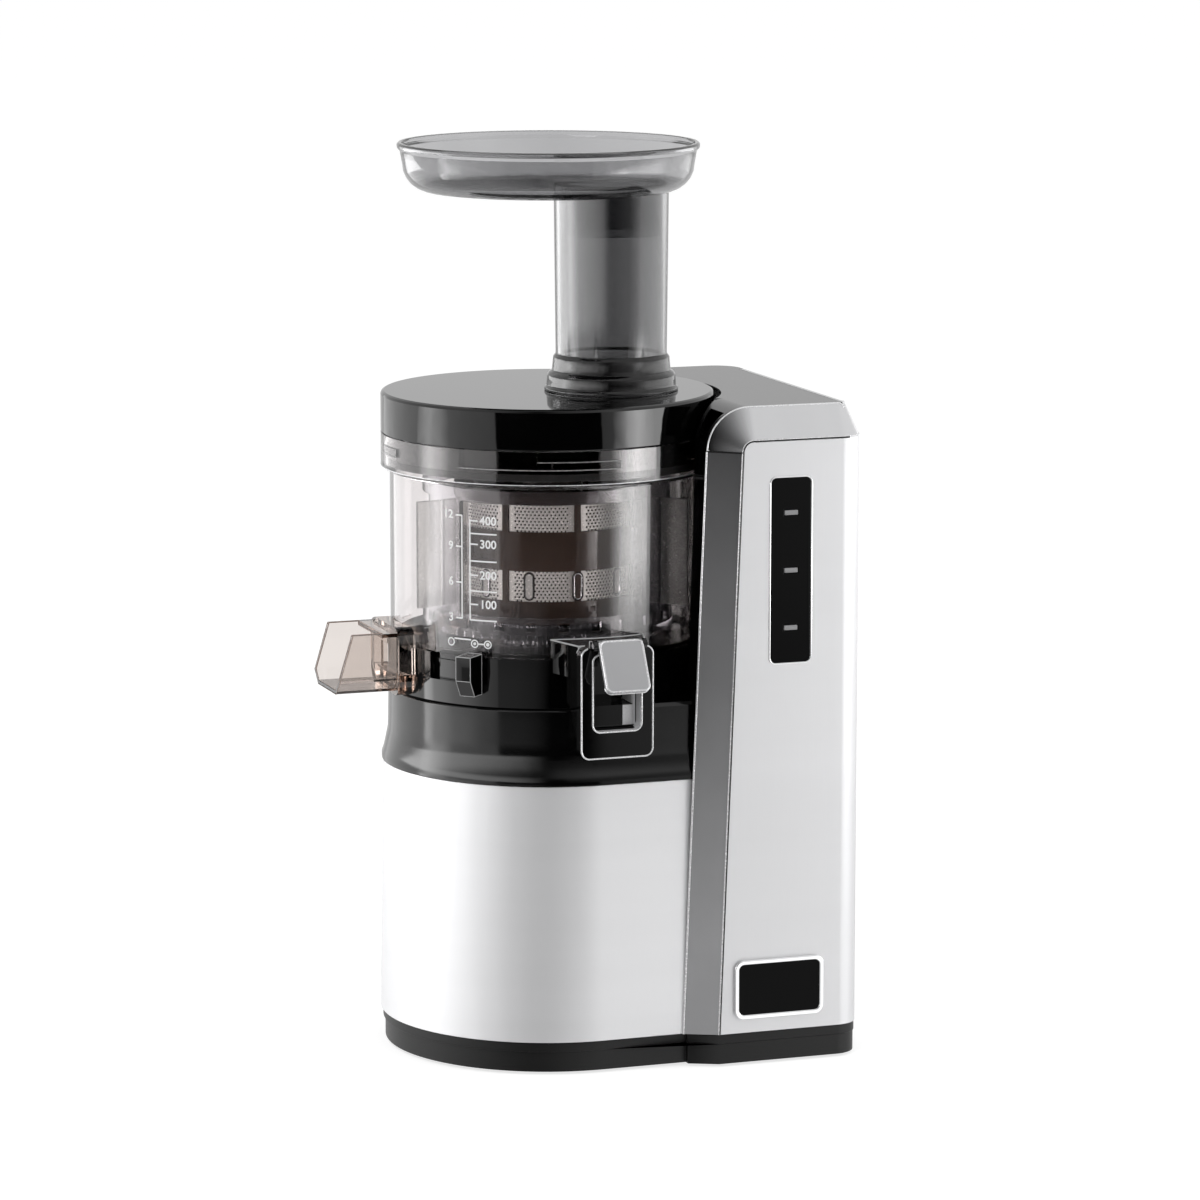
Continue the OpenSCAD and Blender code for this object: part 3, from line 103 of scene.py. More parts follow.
def aim(obj, place, way):
    """Puts a camera or a lamp at a place, looking along a direction."""
    obj.location = place
    obj.rotation_mode = "QUATERNION"
    obj.rotation_quaternion = way.to_track_quat("-Z", "Y")


# ---------- camera ----------

SENSOR = 36                         # mm
PHOTO_PX = 1200                     # the photo's width
FOCAL_PX = 5143.2                   # the focal length in the photo's pixels
CAM_AT = at(-775.2, -2296.9, 620.7)
CAM_YAW = math.radians(19.242)      # to the right of straight ahead
CAM_PITCH = math.radians(9.546)     # looking down


def make_camera():
    data = bpy.data.cameras.new("camera")
    data.sensor_width = SENSOR
    data.lens = SENSOR * FOCAL_PX / PHOTO_PX
    data.clip_start, data.clip_end = 0.05, 60
    cam = linked("camera", data)
    level = Vector((math.sin(CAM_YAW), math.cos(CAM_YAW), 0))
    aim(cam, CAM_AT, level * math.cos(CAM_PITCH) - Vector((0, 0, math.sin(CAM_PITCH))))
    bpy.context.scene.camera = cam


# ---------- materials ----------


class Nodes:
    """The node tree of a material or of the world, emptied and given an output."""

    def __init__(self, owner, output):
        owner.use_nodes = True
        self.tree = owner.node_tree
        self.tree.nodes.clear()
        self.out = self.add(output)

    def add(self, kind, inputs=None, **values):
        """A new node: values are its own settings, inputs the constants of its sockets."""
        node = self.tree.nodes.new(kind)
        for key, value in values.items():
            setattr(node, key, value)
        for key, value in (inputs or {}).items():
            node.inputs[key].default_value = value
        return node

    def link(self, a, b):
        self.tree.links.new(a, b)


class Finish(Nodes):
    """A material of one shader, with grain, mottle and unevenness in its colour, roughness and normal."""

    def __init__(self, name):
        self.material = bpy.data.materials.new(name)
        super().__init__(self.material, "ShaderNodeOutputMaterial")
        self.coords = self.add("ShaderNodeTexCoord")

    def noise(self, scale, detail):
        """Noise in the object's own coordinates; scale is in features per metre, one number for all three
        axes or one for each."""
        each = scale if isinstance(scale, tuple) else (scale, scale, scale)
        mapping = self.add("ShaderNodeMapping", {"Scale": each})
        tex = self.add("ShaderNodeTexNoise", {"Scale": 1, "Detail": detail, "Roughness": 0.5})
        self.link(self.coords.outputs["Object"], mapping.inputs["Vector"])
        self.link(mapping.outputs["Vector"], tex.inputs["Vector"])
        return tex.outputs["Fac"]

    def ramp(self, value, start, end, low, high):
        """Takes a value from start to end over to low to high, and holds it beyond both."""
        node = self.add("ShaderNodeMapRange", {"From Min": start, "From Max": end,
                                               "To Min": low, "To Max": high})
        self.link(value, node.inputs["Value"])
        return node.outputs["Result"]

    def tint(self, value, dark, light):
        node = self.add("ShaderNodeValToRGB")
        for element, position, color in zip(node.color_ramp.elements, (0.3, 0.7), (dark, light)):
            element.position = position
            element.color = (*color, 1)
        self.link(value, node.inputs["Fac"])
        return node.outputs["Color"]

    def with_painted_shade(self, tone, axis, start, end, at_end):
        """Painted shade: darkens a colour along an axis of the frame, from itself at start down to at_end times
        itself.
        """
        part = self.add("ShaderNodeSeparateXYZ")
        self.link(self.coords.outputs["Object"], part.inputs["Vector"])
        share = self.ramp(part.outputs[axis], start * MM, end * MM, 1, at_end)
        mix = self.add("ShaderNodeVectorMath", operation="SCALE")
        self.link(tone, mix.inputs[0])
        self.link(share, mix.inputs["Scale"])
        return mix.outputs["Vector"]

    def bump(self, value, strength, depth):
        node = self.add("ShaderNodeBump", {"Strength": strength, "Distance": depth})
        self.link(value, node.inputs["Height"])
        return node.outputs["Normal"]


def scaled(color, k):
    return tuple(min(1.0, c * k) for c in color)


MATERIALS = {}


def finish(name, color, rough, metallic=0.0, ior=1.5, clear=0.0, specular=0.5, mottle=0.04, mottle_scale=40,
           grain=900, rough_spread=0.15, bump=0.05, depth=0.0001, absorb=None, density=0.0, painted_shade=None):
    """Makes a material. mottle and rough_spread are the shares by which its colour and its roughness vary,
    mottle_scale and grain how fine that is, in features per metre."""
    f = Finish(name)
    shader = f.add("ShaderNodeBsdfPrincipled", {"Metallic": metallic, "IOR": ior, "Transmission Weight": clear,
                                                "Specular IOR Level": specular})
    big = f.noise(mottle_scale, 2)
    fine = f.noise(grain, 4)
    tone = f.tint(big, scaled(color, 1 - mottle), scaled(color, 1 + mottle))
    # painted shade: the colour darkens along an axis where asked
    if painted_shade:
        tone = f.with_painted_shade(tone, *painted_shade)
    f.link(tone, shader.inputs["Base Color"])
    f.link(f.ramp(fine, 0.25, 0.75, rough * (1 - rough_spread), rough * (1 + rough_spread)),
           shader.inputs["Roughness"])
    if bump:
        f.link(f.bump(fine, bump, depth), shader.inputs["Normal"])
    f.link(shader.outputs["BSDF"], f.out.inputs["Surface"])
    if absorb:
        volume = f.add("ShaderNodeVolumeAbsorption", {"Color": (*absorb, 1), "Density": density})
        f.link(volume.outputs["Volume"], f.out.inputs["Volume"])
    MATERIALS[name] = f.material


# what several finishes share
BRUSHED = dict(mottle=0.012, mottle_scale=(4, 4, 60), grain=(5200, 5200, 60), rough_spread=0.08, bump=0.03,
               depth=0.00004)
PAINTED = dict(grain=2600, bump=0.03, depth=0.00003)
POLISHED = dict(mottle=0.1, grain=700, rough_spread=0.3, bump=0.008, depth=0.00003)
CLEAR = dict(ior=1.49, clear=1, rough_spread=0.3, bump=0)

finish("steel", (0.80, 0.80, 0.81), 0.54, metallic=0.78, **BRUSHED)
finish("steel_face", (0.69, 0.69, 0.70), 0.5, metallic=0.8, **BRUSHED)
# painted shade: the side trims' colour darkens from 60 mm up to 0.18 of itself at 300 mm
finish("gunmetal", (0.49, 0.49, 0.50), 0.46, metallic=0.7, mottle=0.03, rough_spread=0.1,
       painted_shade=("Z", 60, 300, 0.18), **PAINTED)
# painted shade: the top trim's colour darkens along x from 64 mm to 43 mm, down to 0.03 of itself
finish("bezel", (0.62, 0.62, 0.63), 0.24, metallic=0.95, mottle=0.02, mottle_scale=(60, 8, 8),
       grain=(60, 5200, 5200), rough_spread=0.12, bump=0.03, depth=0.00003, painted_shade=("X", 64, 43, 0.03))
finish("bezel_plain", (0.70, 0.70, 0.71), 0.3, metallic=0.4, mottle=0.02, grain=2000, rough_spread=0.12, bump=0)
# painted highlight: a light grey for beads along edges, standing in for the light they catch; on the plated
# trims also their polished edges
finish("polished_and_painted_highlight_edge", (0.78, 0.78, 0.79), 0.26, metallic=0.65, mottle=0.02, grain=2000, rough_spread=0.2,
       bump=0)
# painted highlight, dimmer: grey beads along edges of the gloss black mouldings
finish("painted_dim_highlight_edge", (0.46, 0.46, 0.465), 0.3, mottle=0.03, grain=2000, rough_spread=0.2, bump=0)
finish("panel_black", (0.0015, 0.0015, 0.0016), 0.08, specular=0.12, **POLISHED)
finish("badge_black", (0.0015, 0.0015, 0.0016), 0.08, specular=0.07, **POLISHED)
finish("gloss_black", (0.0010, 0.0010, 0.0011), 0.045, **POLISHED)
finish("shell_black", (0.0010, 0.0010, 0.0011), 0.07, specular=0.12, **POLISHED)
finish("cap_black", (0.002, 0.002, 0.0022), 0.20, mottle=0.1, grain=1600, rough_spread=0.2, bump=0.02,
       depth=0.00003)
finish("dark_plastic", (0.0015, 0.0015, 0.0016), 0.13, mottle=0.08, rough_spread=0.2, bump=0.015, depth=0.00003)
finish("base_black", (0.004, 0.004, 0.004), 0.42, mottle=0.1, grain=2600, bump=0.2, depth=0.00006,
       specular=0.35)
finish("smoke", (0.46, 0.46, 0.468), 0.03, mottle=0.02, **CLEAR)
# painted shade: the chute's tint darkens at its foot, from 331 mm down to 0.35 of itself at 322 mm
finish("smoke_dark", (0.26, 0.26, 0.264), 0.05, mottle=0.02, specular=0.9, painted_shade=("Z", 331, 322, 0.35), **CLEAR)
finish("clear", (0.86, 0.835, 0.835), 0.02, mottle=0.01, **CLEAR)
finish("pink_clear", (0.84, 0.80, 0.775), 0.025, mottle=0.01, absorb=(0.68, 0.55, 0.47), density=75, **CLEAR)
finish("brown_clear", (0.080, 0.055, 0.045), 0.10, mottle=0.1, rough_spread=0.1, bump=0)
# painted shade: an opaque dark brown for beads along the clear pulp trough's edges
finish("painted_dark_edge", (0.34, 0.25, 0.21), 0.15, mottle=0.1, rough_spread=0.2, bump=0)
finish("lilac_smoke", (0.66, 0.645, 0.68), 0.05, ior=1.49, clear=0.95, mottle=0.03, rough_spread=0.2, bump=0)
finish("mesh_steel", (0.97, 0.94, 0.90), 0.25, metallic=0.4, mottle=0.03, grain=1200, rough_spread=0.2,
       bump=0.03, depth=0.00003)
finish("chrome", (0.86, 0.86, 0.87), 0.07, metallic=1, mottle=0.01, rough_spread=0.3, bump=0)
finish("flap_grey", (0.42, 0.42, 0.43), 0.40, metallic=0.8, mottle=0.02, rough_spread=0.12, **PAINTED)
finish("silicone", (0.88, 0.87, 0.85), 0.25, clear=0.8, ior=1.41, mottle=0.03, bump=0.03)
finish("rubber", (0.02, 0.02, 0.02), 0.62, mottle=0.12, grain=2400, bump=0.3)
finish("shaft_steel", (0.58, 0.58, 0.60), 0.26, metallic=1, grain=(300, 300, 4000))
finish("cast", (0.52, 0.53, 0.54), 0.48, metallic=1, grain=1500, bump=0.3)
finish("iron_core", (0.20, 0.205, 0.215), 0.5, metallic=0.8, grain=(60, 60, 2200), bump=0.3)
finish("copper", (0.50, 0.20, 0.07), 0.3, metallic=0.9, grain=(60, 60, 1600), bump=0.5, depth=0.0002)
finish("nylon", (0.72, 0.70, 0.63), 0.45, grain=1200, bump=0.1)
finish("screw_plastic", (0.030, 0.022, 0.020), 0.22, mottle=0.15, bump=0.03)
finish("circuit", (0.02, 0.13, 0.06), 0.35, mottle=0.25, mottle_scale=300, bump=0.2)
finish("button_grey", (0.30, 0.30, 0.305), 0.4, mottle=0.05, grain=2000)
finish("print_white", (0.95, 0.95, 0.95), 0.4, mottle=0.03, grain=2000)


def dress(obj, material):
    obj.data.materials.clear()
    obj.data.materials.append(MATERIALS[material])


# ---------- meshes ----------


def new_object(name, bm, body, material):
    """A new visible piece that moves with a body of the frame."""
    obj = from_bmesh(name, bm)
    dress(obj, material)
    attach(obj, body)
    return obj


def smooth(bm, angle):
    """Fair shading, but for edges that turn by more than an angle in degrees."""
    limit = math.radians(angle)
    for f in bm.faces:
        f.smooth = True
    for e in bm.edges:
        e.smooth = not (e.is_manifold and e.calc_face_angle(0) > limit)


def clean_shape(node):
    """A copy of a CAD node's mesh with doubled corners merged and flat facets joined."""
    bm = bmesh.new()
    bm.from_mesh(frame["nodes"][node].data)
    bmesh.ops.remove_doubles(bm, verts=bm.verts, dist=MERGE)
    bmesh.ops.dissolve_limit(bm, angle_limit=FLAT, verts=bm.verts, edges=bm.edges)
    return bm


def sharp_edges(bm, pick=None):
    """The sharp edges of a mesh, or those that pick accepts: it gets an edge's two ends in millimetres
    round the chamber's axis."""
    return [e for e in bm.edges if e.is_manifold and e.calc_face_angle(0) > SHARP
            and (pick is None or pick(local(e.verts[0].co), local(e.verts[1].co)))]


def ring_of(count):
    """The edges of a closed row of that many points."""
    return [(m, (m + 1) % count) for m in range(count)]


def round_pairs(rows):
    """Each row with the next, and the last with the first."""
    return zip(rows, rows[1:] + rows[:1])


def bridge(bm, pairs, edges, turned=False):
    """Faces between pairs of rows of points. edges says which points of a row are joined, and turned that
    the faces look the other way."""
    for one, two in pairs:
        for m, n in edges:
            bm.faces.new((one[m], two[m], two[n], one[n]) if turned else (one[m], one[n], two[n], two[m]))


# ---------- pieces made from the frame's own shapes ----------

LID_SIDE = 19.0                     # the lid's side reaches down to here from its top
LID_ROUNDING = 1.5                  # and up to here
LID_WALL = 2.6                      # corners farther in than this stay where they are
LID_DRAFT = 0.8                     # what the side leans in at its top
LID_SHY = 0.01                      # kept inside the CAD's box by this


def upright_side(bm):
    """Takes the slight draft off the lid's side, so that it mirrors the studio as the real one does."""
    low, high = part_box("lid")
    radius = (high.x - low.x) / 2
    foot, head = high.z - LID_SIDE * MM, high.z - LID_ROUNDING * MM
    for v in bm.verts:
        out = Vector((v.co.x - AXIS.x, v.co.y - AXIS.y, 0))
        if out.length > radius - LID_WALL * MM and v.co.z > foot:
            want = radius - LID_SHY * MM if v.co.z < head else out.length + LID_DRAFT * MM
            v.co += out.normalized() * (want - out.length)


def refined(node, material, bevel, segments=2, keep_sharp=50, reshape=None):
    """Stands for a CAD node: its own shape with rounded edges and fair shading."""
    bm = clean_shape(node)
    if reshape:
        reshape(bm)
    if bevel:
        bmesh.ops.bevel(bm, geom=sharp_edges(bm), offset=bevel * MM, offset_type="OFFSET", segments=segments,
                        profile=0.5, clamp_overlap=True, affect="EDGES")
    smooth(bm, keep_sharp)
    obj = new_object(node + "_skin", bm, BODY_OF[node], material)
    obj.modifiers.new("normals", "WEIGHTED_NORMAL").keep_sharp = True
    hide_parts(node)


def runs(edges):
    """Joins edges into lines of points, each ending where the line ends, forks or closes."""
    at_vert = {}
    for e in edges:
        for v in e.verts:
            at_vert.setdefault(v, []).append(e)
    left, lines = set(edges), []

    def walk(v, e):
        line = [v]
        while e:
            left.discard(e)
            v = e.other_vert(v)
            line.append(v)
            onward = [x for x in at_vert[v] if x in left]
            e = onward[0] if len(at_vert[v]) == 2 and onward else None
        return line

    for v, es in at_vert.items():
        if len(es) != 2:
            for e in es:
                if e in left:
                    lines.append(walk(v, e))
    for e in edges:
        if e in left:
            lines.append(walk(e.verts[0], e))
    return lines


def tube(bm, points, radius, sides=8):
    """A round bead along a line of points; it closes on itself where the line does."""
    closed = (points[0] - points[-1]).length < 1e-6
    if closed:
        points = points[:-1]
    n = len(points)
    rows, side = [], None
    for k, p in enumerate(points):
        before = points[(k - 1) % n] if closed or k else p
        after = points[(k + 1) % n] if closed or k < n - 1 else p
        way = (after - before).normalized()
        if side is None:
            side = way.orthogonal().normalized()
        side = (side - way * side.dot(way)).normalized()
        up = way.cross(side)
        rows.append([bm.verts.new(p + (side * math.cos(t) + up * math.sin(t)) * radius)
                     for t in (2 * math.pi * m / sides for m in range(sides))])
    pairs = list(zip(rows, rows[1:]))
    if closed:
        # the last ring may sit turned against the first: join each point to its nearest
        turn = min(range(sides), key=lambda m: (rows[-1][0].co - rows[0][m].co).length)
        pairs.append((rows[-1], rows[0][turn:] + rows[0][:turn]))
    bridge(bm, pairs, ring_of(sides))
    if not closed:
        bm.faces.new(rows[0])
        bm.faces.new(list(reversed(rows[-1])))


def outline(name, node, pick, radius, material, sink=0.4):
    """A bead along the sharp edges of a CAD node that pick accepts. It lies inside the edge by a share of
    its radius, and inside the CAD's box."""
    src = clean_shape(node)
    edges = sharp_edges(src, pick)
    outward = {}
    for e in edges:
        for f in e.link_faces:
            for v in e.verts:
                outward.setdefault(v, []).append(f.normal.copy())
    bm = bmesh.new()
    for line in runs(edges):
        tube(bm, [v.co - sum(outward[v], Vector((0, 0, 0))).normalized() * radius * sink * MM for v in line],
             radius * MM)
    src.free()
    for v in bm.verts:
        v.co = [min(max(c, low), high) for c, low, high in zip(v.co, *cad_box)]
    bmesh.ops.recalc_face_normals(bm, faces=bm.faces)
    smooth(bm, 60)
    new_object(name, bm, BODY_OF[node], material)


# ---------- the spout's window and mouth ----------


def both(test):
    """A pick that asks the same of an edge's two ends."""
    return lambda p, q: test(*p) and test(*q)


def near(value, target):
    return abs(value - target) < 0.06


PLATE_FRONT, PLATE_BACK = -100.5, -98.5     # y of the two rims of the spout's plate
WINDOW_RIM = both(lambda x, y, z: near(y, PLATE_FRONT) and abs(x) < 12 and 160 < z < 204.5)
LINING_GAP, LINING_WALL = 0.05, 0.3
LINING_FRONT = 0.1                          # how far its rim lies behind the plate's front
LINING_SHALLOW, LINING_DEEP = 3.0, 15.0
LINING_TURN, LINING_BLEND = 9.5, 2.0        # the x from which it is deep, and how soon
# right wall of the mouth, step between window and mouth, back of the recess below the mouth
MOUTH_STRIPS = [((9.4, -93.55, 178.9), (9.7, -80.0, 203.0)),
                ((9.8, -93.85, 169.2), (11.0, -93.55, 200.0)),
                ((4.9, -93.85, 169.2), (9.7, -93.55, 178.5))]


def window_lining(name):
    """A bright band round the inside of the spout's window, deep on the side that the mouth turns to."""
    src = clean_shape("juice_spout")
    line = max(runs(sharp_edges(src, WINDOW_RIM)), key=len)[:-1]
    mid = sum((v.co for v in line), Vector()) / len(line)
    bm = bmesh.new()
    rows = []
    for v in line:
        way = Vector((v.co.x - mid.x, 0, v.co.z - mid.z)).normalized()
        right = min(1.0, max(0.0, (v.co.x - AXIS.x - LINING_TURN * MM) / (LINING_BLEND * MM)))
        deep = LINING_SHALLOW + (LINING_DEEP - LINING_SHALLOW) * right * right * (3 - 2 * right)
        rows.append([bm.verts.new(v.co - way * inward * MM + Vector((0, step * MM, 0)))
                     for inward in (LINING_GAP, LINING_GAP + LINING_WALL) for step in (LINING_FRONT, deep)])
    src.free()
    bridge(bm, round_pairs(rows), ((0, 1), (1, 3), (3, 2), (2, 0)), turned=True)
    bmesh.ops.recalc_face_normals(bm, faces=bm.faces)
    smooth(bm, 40)
    new_object(name, bm, "chamber", "bezel_plain")


def mouth_lining(name):
    """Bright strips on the right wall of the spout's mouth and on the back of the recess below it."""
    bm = bmesh.new()
    for low, high in MOUTH_STRIPS:
        low, high = at(*low), at(*high)
        place = Matrix.Translation((low + high) / 2) @ Matrix.Diagonal((*(high - low), 1))
        bmesh.ops.create_cube(bm, size=1, matrix=place)
    new_object(name, bm, "chamber", "bezel_plain")


# ---------- perforated bands ----------

SCREEN_R = 43.35
SHEET = 0.35                        # the steel's thickness
LOW_BAND, HIGH_BAND = (219.1, 234.5), (252.1, 266.1)
CELLS = 144                         # round the strainer
HOLE_R = 0.46
RIB_EVERY, RIB_R = 45, 44.45        # the ribs stand outside the sheet
RIB_HALF = 5.5                      # degrees to each side of a rib that have no holes
BEADS = [270 - 30 * k for k in range(12)]
BEAD_W, BEAD_H = 3.6, 12.0


def perforated_band(bm, band, rows, plain):
    """A round sheet of steel with rows of small holes; every cell shares its edge points with its neighbours.
    plain says whether the cell at an angle in degrees has no hole."""
    radius, hole = SCREEN_R * MM, HOLE_R * MM
    z0, z1 = band[0] * MM, band[1] * MM
    cell_a = 2 * math.pi / CELLS
    cell_z = (z1 - z0) / rows
    points = {}

    def point(a, z):
        key = (round(a / cell_a * 4) % (CELLS * 4), round((z - z0) / cell_z * 4))
        if key not in points:
            points[key] = bm.verts.new(polar(radius, key[0] / 4 * cell_a, z))
        return points[key]

    ring = [(-0.5, -0.5), (0, -0.5), (0.5, -0.5), (0.5, 0), (0.5, 0.5), (0, 0.5), (-0.5, 0.5), (-0.5, 0)]
    for j in range(rows):
        for i in range(CELLS):
            a = (i + (0.5 if j % 2 else 0)) * cell_a
            z = z0 + (j + 0.5) * cell_z
            outer = [point(a + u * cell_a, z + v * cell_z) for u, v in ring]
            if plain(math.degrees(a)):
                bm.faces.new(outer)
                continue
            inner = []
            for u, v in ring:
                k = hole / math.hypot(u, v)
                inner.append(bm.verts.new(polar(radius, a + u * k / radius, z + v * k)))
            bridge(bm, [(outer, inner)], ring_of(len(ring)))


def off(angle, other):
    """How far an angle in degrees lies from another, between -180 and 180."""
    return (angle - other + 180) % 360 - 180


def near_rib(angle):
    return abs(off(angle, RIB_EVERY * round(angle / RIB_EVERY))) < RIB_HALF


def near_bead(angle):
    return min(abs(off(angle, b)) for b in BEADS) < math.degrees(BEAD_W * 0.75 / SCREEN_R)


def oval_bead(bm, angle, z_mid, width, height, bead):
    """A raised oval loop pressed into the sheet."""
    steps, sides = 28, 6
    straight = (height - width) / 2
    middle = RIB_R if near_rib(angle) else SCREEN_R + 0.1
    rows = []
    for k in range(steps):
        t = 2 * math.pi * k / steps
        u = width / 2 * math.cos(t)
        v = width / 2 * math.sin(t) + (straight if math.sin(t) > 0 else -straight if math.sin(t) < 0 else 0)
        row = []
        for m in range(sides):
            p = 2 * math.pi * m / sides
            w = bead * math.cos(p)
            a = math.radians(angle) + (u + w * math.cos(t)) / SCREEN_R
            row.append(bm.verts.new(polar((middle + bead * math.sin(p)) * MM, a,
                                          (z_mid + v + w * math.sin(t)) * MM)))
        rows.append(row)
    bridge(bm, round_pairs(rows), ring_of(sides), turned=True)


def make_screens():
    bm = bmesh.new()
    perforated_band(bm, LOW_BAND, 10, lambda a: near_rib(a) or near_bead(a))
    perforated_band(bm, HIGH_BAND, 9, near_rib)
    smooth(bm, 40)
    screen = new_object("perforated_screen", bm, "chamber", "mesh_steel")
    sheet = screen.modifiers.new("sheet", "SOLIDIFY")
    sheet.thickness = SHEET * MM
    sheet.offset = 0
    # the second, wider loop in dark plastic is painted shade round each bead
    for name, material, width, bead in (("screen_beads", "chrome", BEAD_W, 0.42),
                                        ("screen_bead_painted_shade", "screw_plastic", BEAD_W + 1.1, 0.36)):
        bm = bmesh.new()
        for angle in BEADS:
            oval_bead(bm, angle, (LOW_BAND[0] + LOW_BAND[1]) / 2, width, BEAD_H - BEAD_W + width, bead)
        bmesh.ops.recalc_face_normals(bm, faces=bm.faces)
        smooth(bm, 60)
        new_object(name, bm, "chamber", material)
    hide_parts("strainer_screen")


# ---------- printed marks on the drum ----------

DRUM_R = 75.0
INK, INK_DEPTH = 0.05, 0.06         # the print's distance from the drum, and its thickness
LINE = 0.72                         # the width of a printed line
FIGURE = 5.6                        # the size of the figures
CUPS_AT, VOLUME_AT = 50.6, 47.3     # the angles of the two scales' upright lines
LEVER_Z = 203.7                     # the height of the marks over the lever


def drum_point(theta, z, lift):
    """A point over the drum's outside; theta is in degrees from the front towards the pulp trough."""
    return polar((DRUM_R + lift) * MM, math.radians(270 - theta), z * MM)


def ink_sides(bm, pairs):
    """The four long sides of a printed bar, between pairs of its cross sections."""
    for a, b in pairs:
        bm.faces.new((a[1], b[1], b[3], a[3]))
        bm.faces.new((a[0], a[2], b[2], b[0]))
        bm.faces.new((a[0], b[0], b[1], a[1]))
        bm.faces.new((a[2], a[3], b[3], b[2]))


def ink_strip(bm, t0, t1, z0, z1):
    """A printed bar between two angles and two heights."""
    steps = max(1, int(abs(t1 - t0)))
    rows = []
    for k in range(steps + 1):
        t = t0 + (t1 - t0) * k / steps
        rows.append([bm.verts.new(drum_point(t, z, lift)) for z in (z0, z1) for lift in (INK, INK + INK_DEPTH)])
    ink_sides(bm, zip(rows, rows[1:]))
    for r in (rows[0], rows[-1]):
        bm.faces.new((r[0], r[1], r[3], r[2]))


def ink_upright(bm, theta, z0, z1):
    """A printed upright line."""
    wide = math.degrees(LINE / DRUM_R)
    ink_strip(bm, theta - wide / 2, theta + wide / 2, z0, z1)


def ink_level(bm, t0, t1, z):
    """A printed level line."""
    ink_strip(bm, t0, t1, z - LINE / 2, z + LINE / 2)


def ink_ring(bm, theta, z, r_out, r_in):
    """A printed ring, or a dot where the inner radius is next to nothing."""
    steps = 28
    rows = []
    for k in range(steps):
        a = 2 * math.pi * k / steps
        rows.append([bm.verts.new(drum_point(theta + math.degrees(r * math.cos(a) / DRUM_R),
                                             z + r * math.sin(a), lift))
                     for r in (r_in, r_out) for lift in (INK, INK + INK_DEPTH)])
    ink_sides(bm, round_pairs(rows))


def ink_text(bm, text, theta, z, align):
    """Plain figures bent round the drum."""
    curve = bpy.data.curves.new("figures", "FONT")
    curve.body = text
    curve.size = FIGURE
    curve.align_x = align
    curve.align_y = "CENTER"
    curve.offset = 0.022 * FIGURE
    curve.resolution_u = 3
    curve.extrude = INK_DEPTH / 2
    temp = linked("figures", curve)
    mesh = bpy.data.meshes.new_from_object(temp.evaluated_get(bpy.context.evaluated_depsgraph_get()))
    bpy.data.objects.remove(temp)
    part = bmesh.new()
    part.from_mesh(mesh)
    bmesh.ops.triangulate(part, faces=part.faces)
    for v in part.verts:
        lift = INK + (INK_DEPTH if v.co.z > 0 else 0)
        v.co = drum_point(theta - math.degrees(v.co.x / DRUM_R), z + v.co.y, lift)
    part.to_mesh(mesh)
    part.free()
    bm.from_mesh(mesh)
    bpy.data.meshes.remove(mesh)


def make_marks():
    bm = bmesh.new()
    # small cups on the left
    ink_upright(bm, CUPS_AT, 215.1, 263.9)
    for z, text in ((263.7, "12"), (249.0, "9"), (232.2, "6"), (215.3, "3")):
        ink_level(bm, CUPS_AT, CUPS_AT + 2.6, z)
        ink_text(bm, text, CUPS_AT + 3.7, z, "RIGHT")
    # volume on the right
    ink_upright(bm, VOLUME_AT, 214.7, 262.2)
    for z in (255.6, 242.7, 228.6, 214.9):
        ink_level(bm, VOLUME_AT - 10.4, VOLUME_AT, z)
    for z, text in ((261.6, "400"), (250.6, "300"), (236.0, "200"), (222.3, "100")):
        ink_level(bm, VOLUME_AT - 3.2, VOLUME_AT, z)
        ink_text(bm, text, VOLUME_AT - 3.9, z, "LEFT")
    # lever marks: an open ring and two with a dot, joined by lines
    for theta in (55.4, 45.5, 40.4):
        ink_ring(bm, theta, LEVER_Z, 2.0, 1.4)
    ink_ring(bm, 40.4, LEVER_Z, 0.9, 0.05)
    ink_ring(bm, 45.5, LEVER_Z, 0.75, 0.05)
    ink_strip(bm, 46.9, 54.0, LEVER_Z + 1.4, LEVER_Z + 1.4 + LINE)
    ink_level(bm, 41.8, 44.1, LEVER_Z)
    bmesh.ops.recalc_face_normals(bm, faces=bm.faces)
    new_object("drum_marks", bm, "chamber", "print_white")


# ---------- the visible pieces ----------

for node, obj in frame["nodes"].items():
    dress(obj, SLOT_OF[node])
    for poly in obj.data.polygons:
        poly.use_smooth = True

refined("base_tray", "base_black", bevel=0.8)
refined("body_skin", "steel", bevel=0.3)
refined("upper_housing", "dark_plastic", bevel=0.3)
refined("tower_shell", "shell_black", bevel=0.4)
refined("tower_front", "steel_face", bevel=0.45)
refined("tower_trim_side", "gunmetal", bevel=0.3)
refined("tower_trim_top", "bezel", bevel=0.3)
refined("tower_cap", "cap_black", bevel=1.2, segments=3)
refined("panel", "panel_black", bevel=0.4)
refined("badge_plate", "badge_black", bevel=0.15)
refined("badge_frame", "chrome", bevel=0.55, segments=3)
for name in ("button_forward", "button_power", "button_reverse"):
    refined(name, "button_grey", bevel=0.25)
refined("drum_base", "gloss_black", bevel=0.35)
refined("drum", "clear", bevel=0.35)
refined("strainer_frame", "brown_clear", bevel=0.3)
refined("juice_spout", "gloss_black", bevel=0.3)
refined("juice_flap", "flap_grey", bevel=0.3)
refined("pulp_spout", "pink_clear", bevel=0.6, segments=3)
refined("pulp_lever", "gloss_black", bevel=0.3)
refined("lid", "gloss_black", bevel=0.4, keep_sharp=15, reshape=upright_side)
refined("chute", "smoke_dark", bevel=0.4)
refined("feed_tray", "smoke", bevel=0.3)
refined("brush_frame", "lilac_smoke", bevel=0.3)
refined("wipers", "silicone", bevel=0.3)
refined("screw", "screw_plastic", bevel=0)
dress(frame["nodes"]["lid_seal"], "rubber")
make_screens()
make_marks()
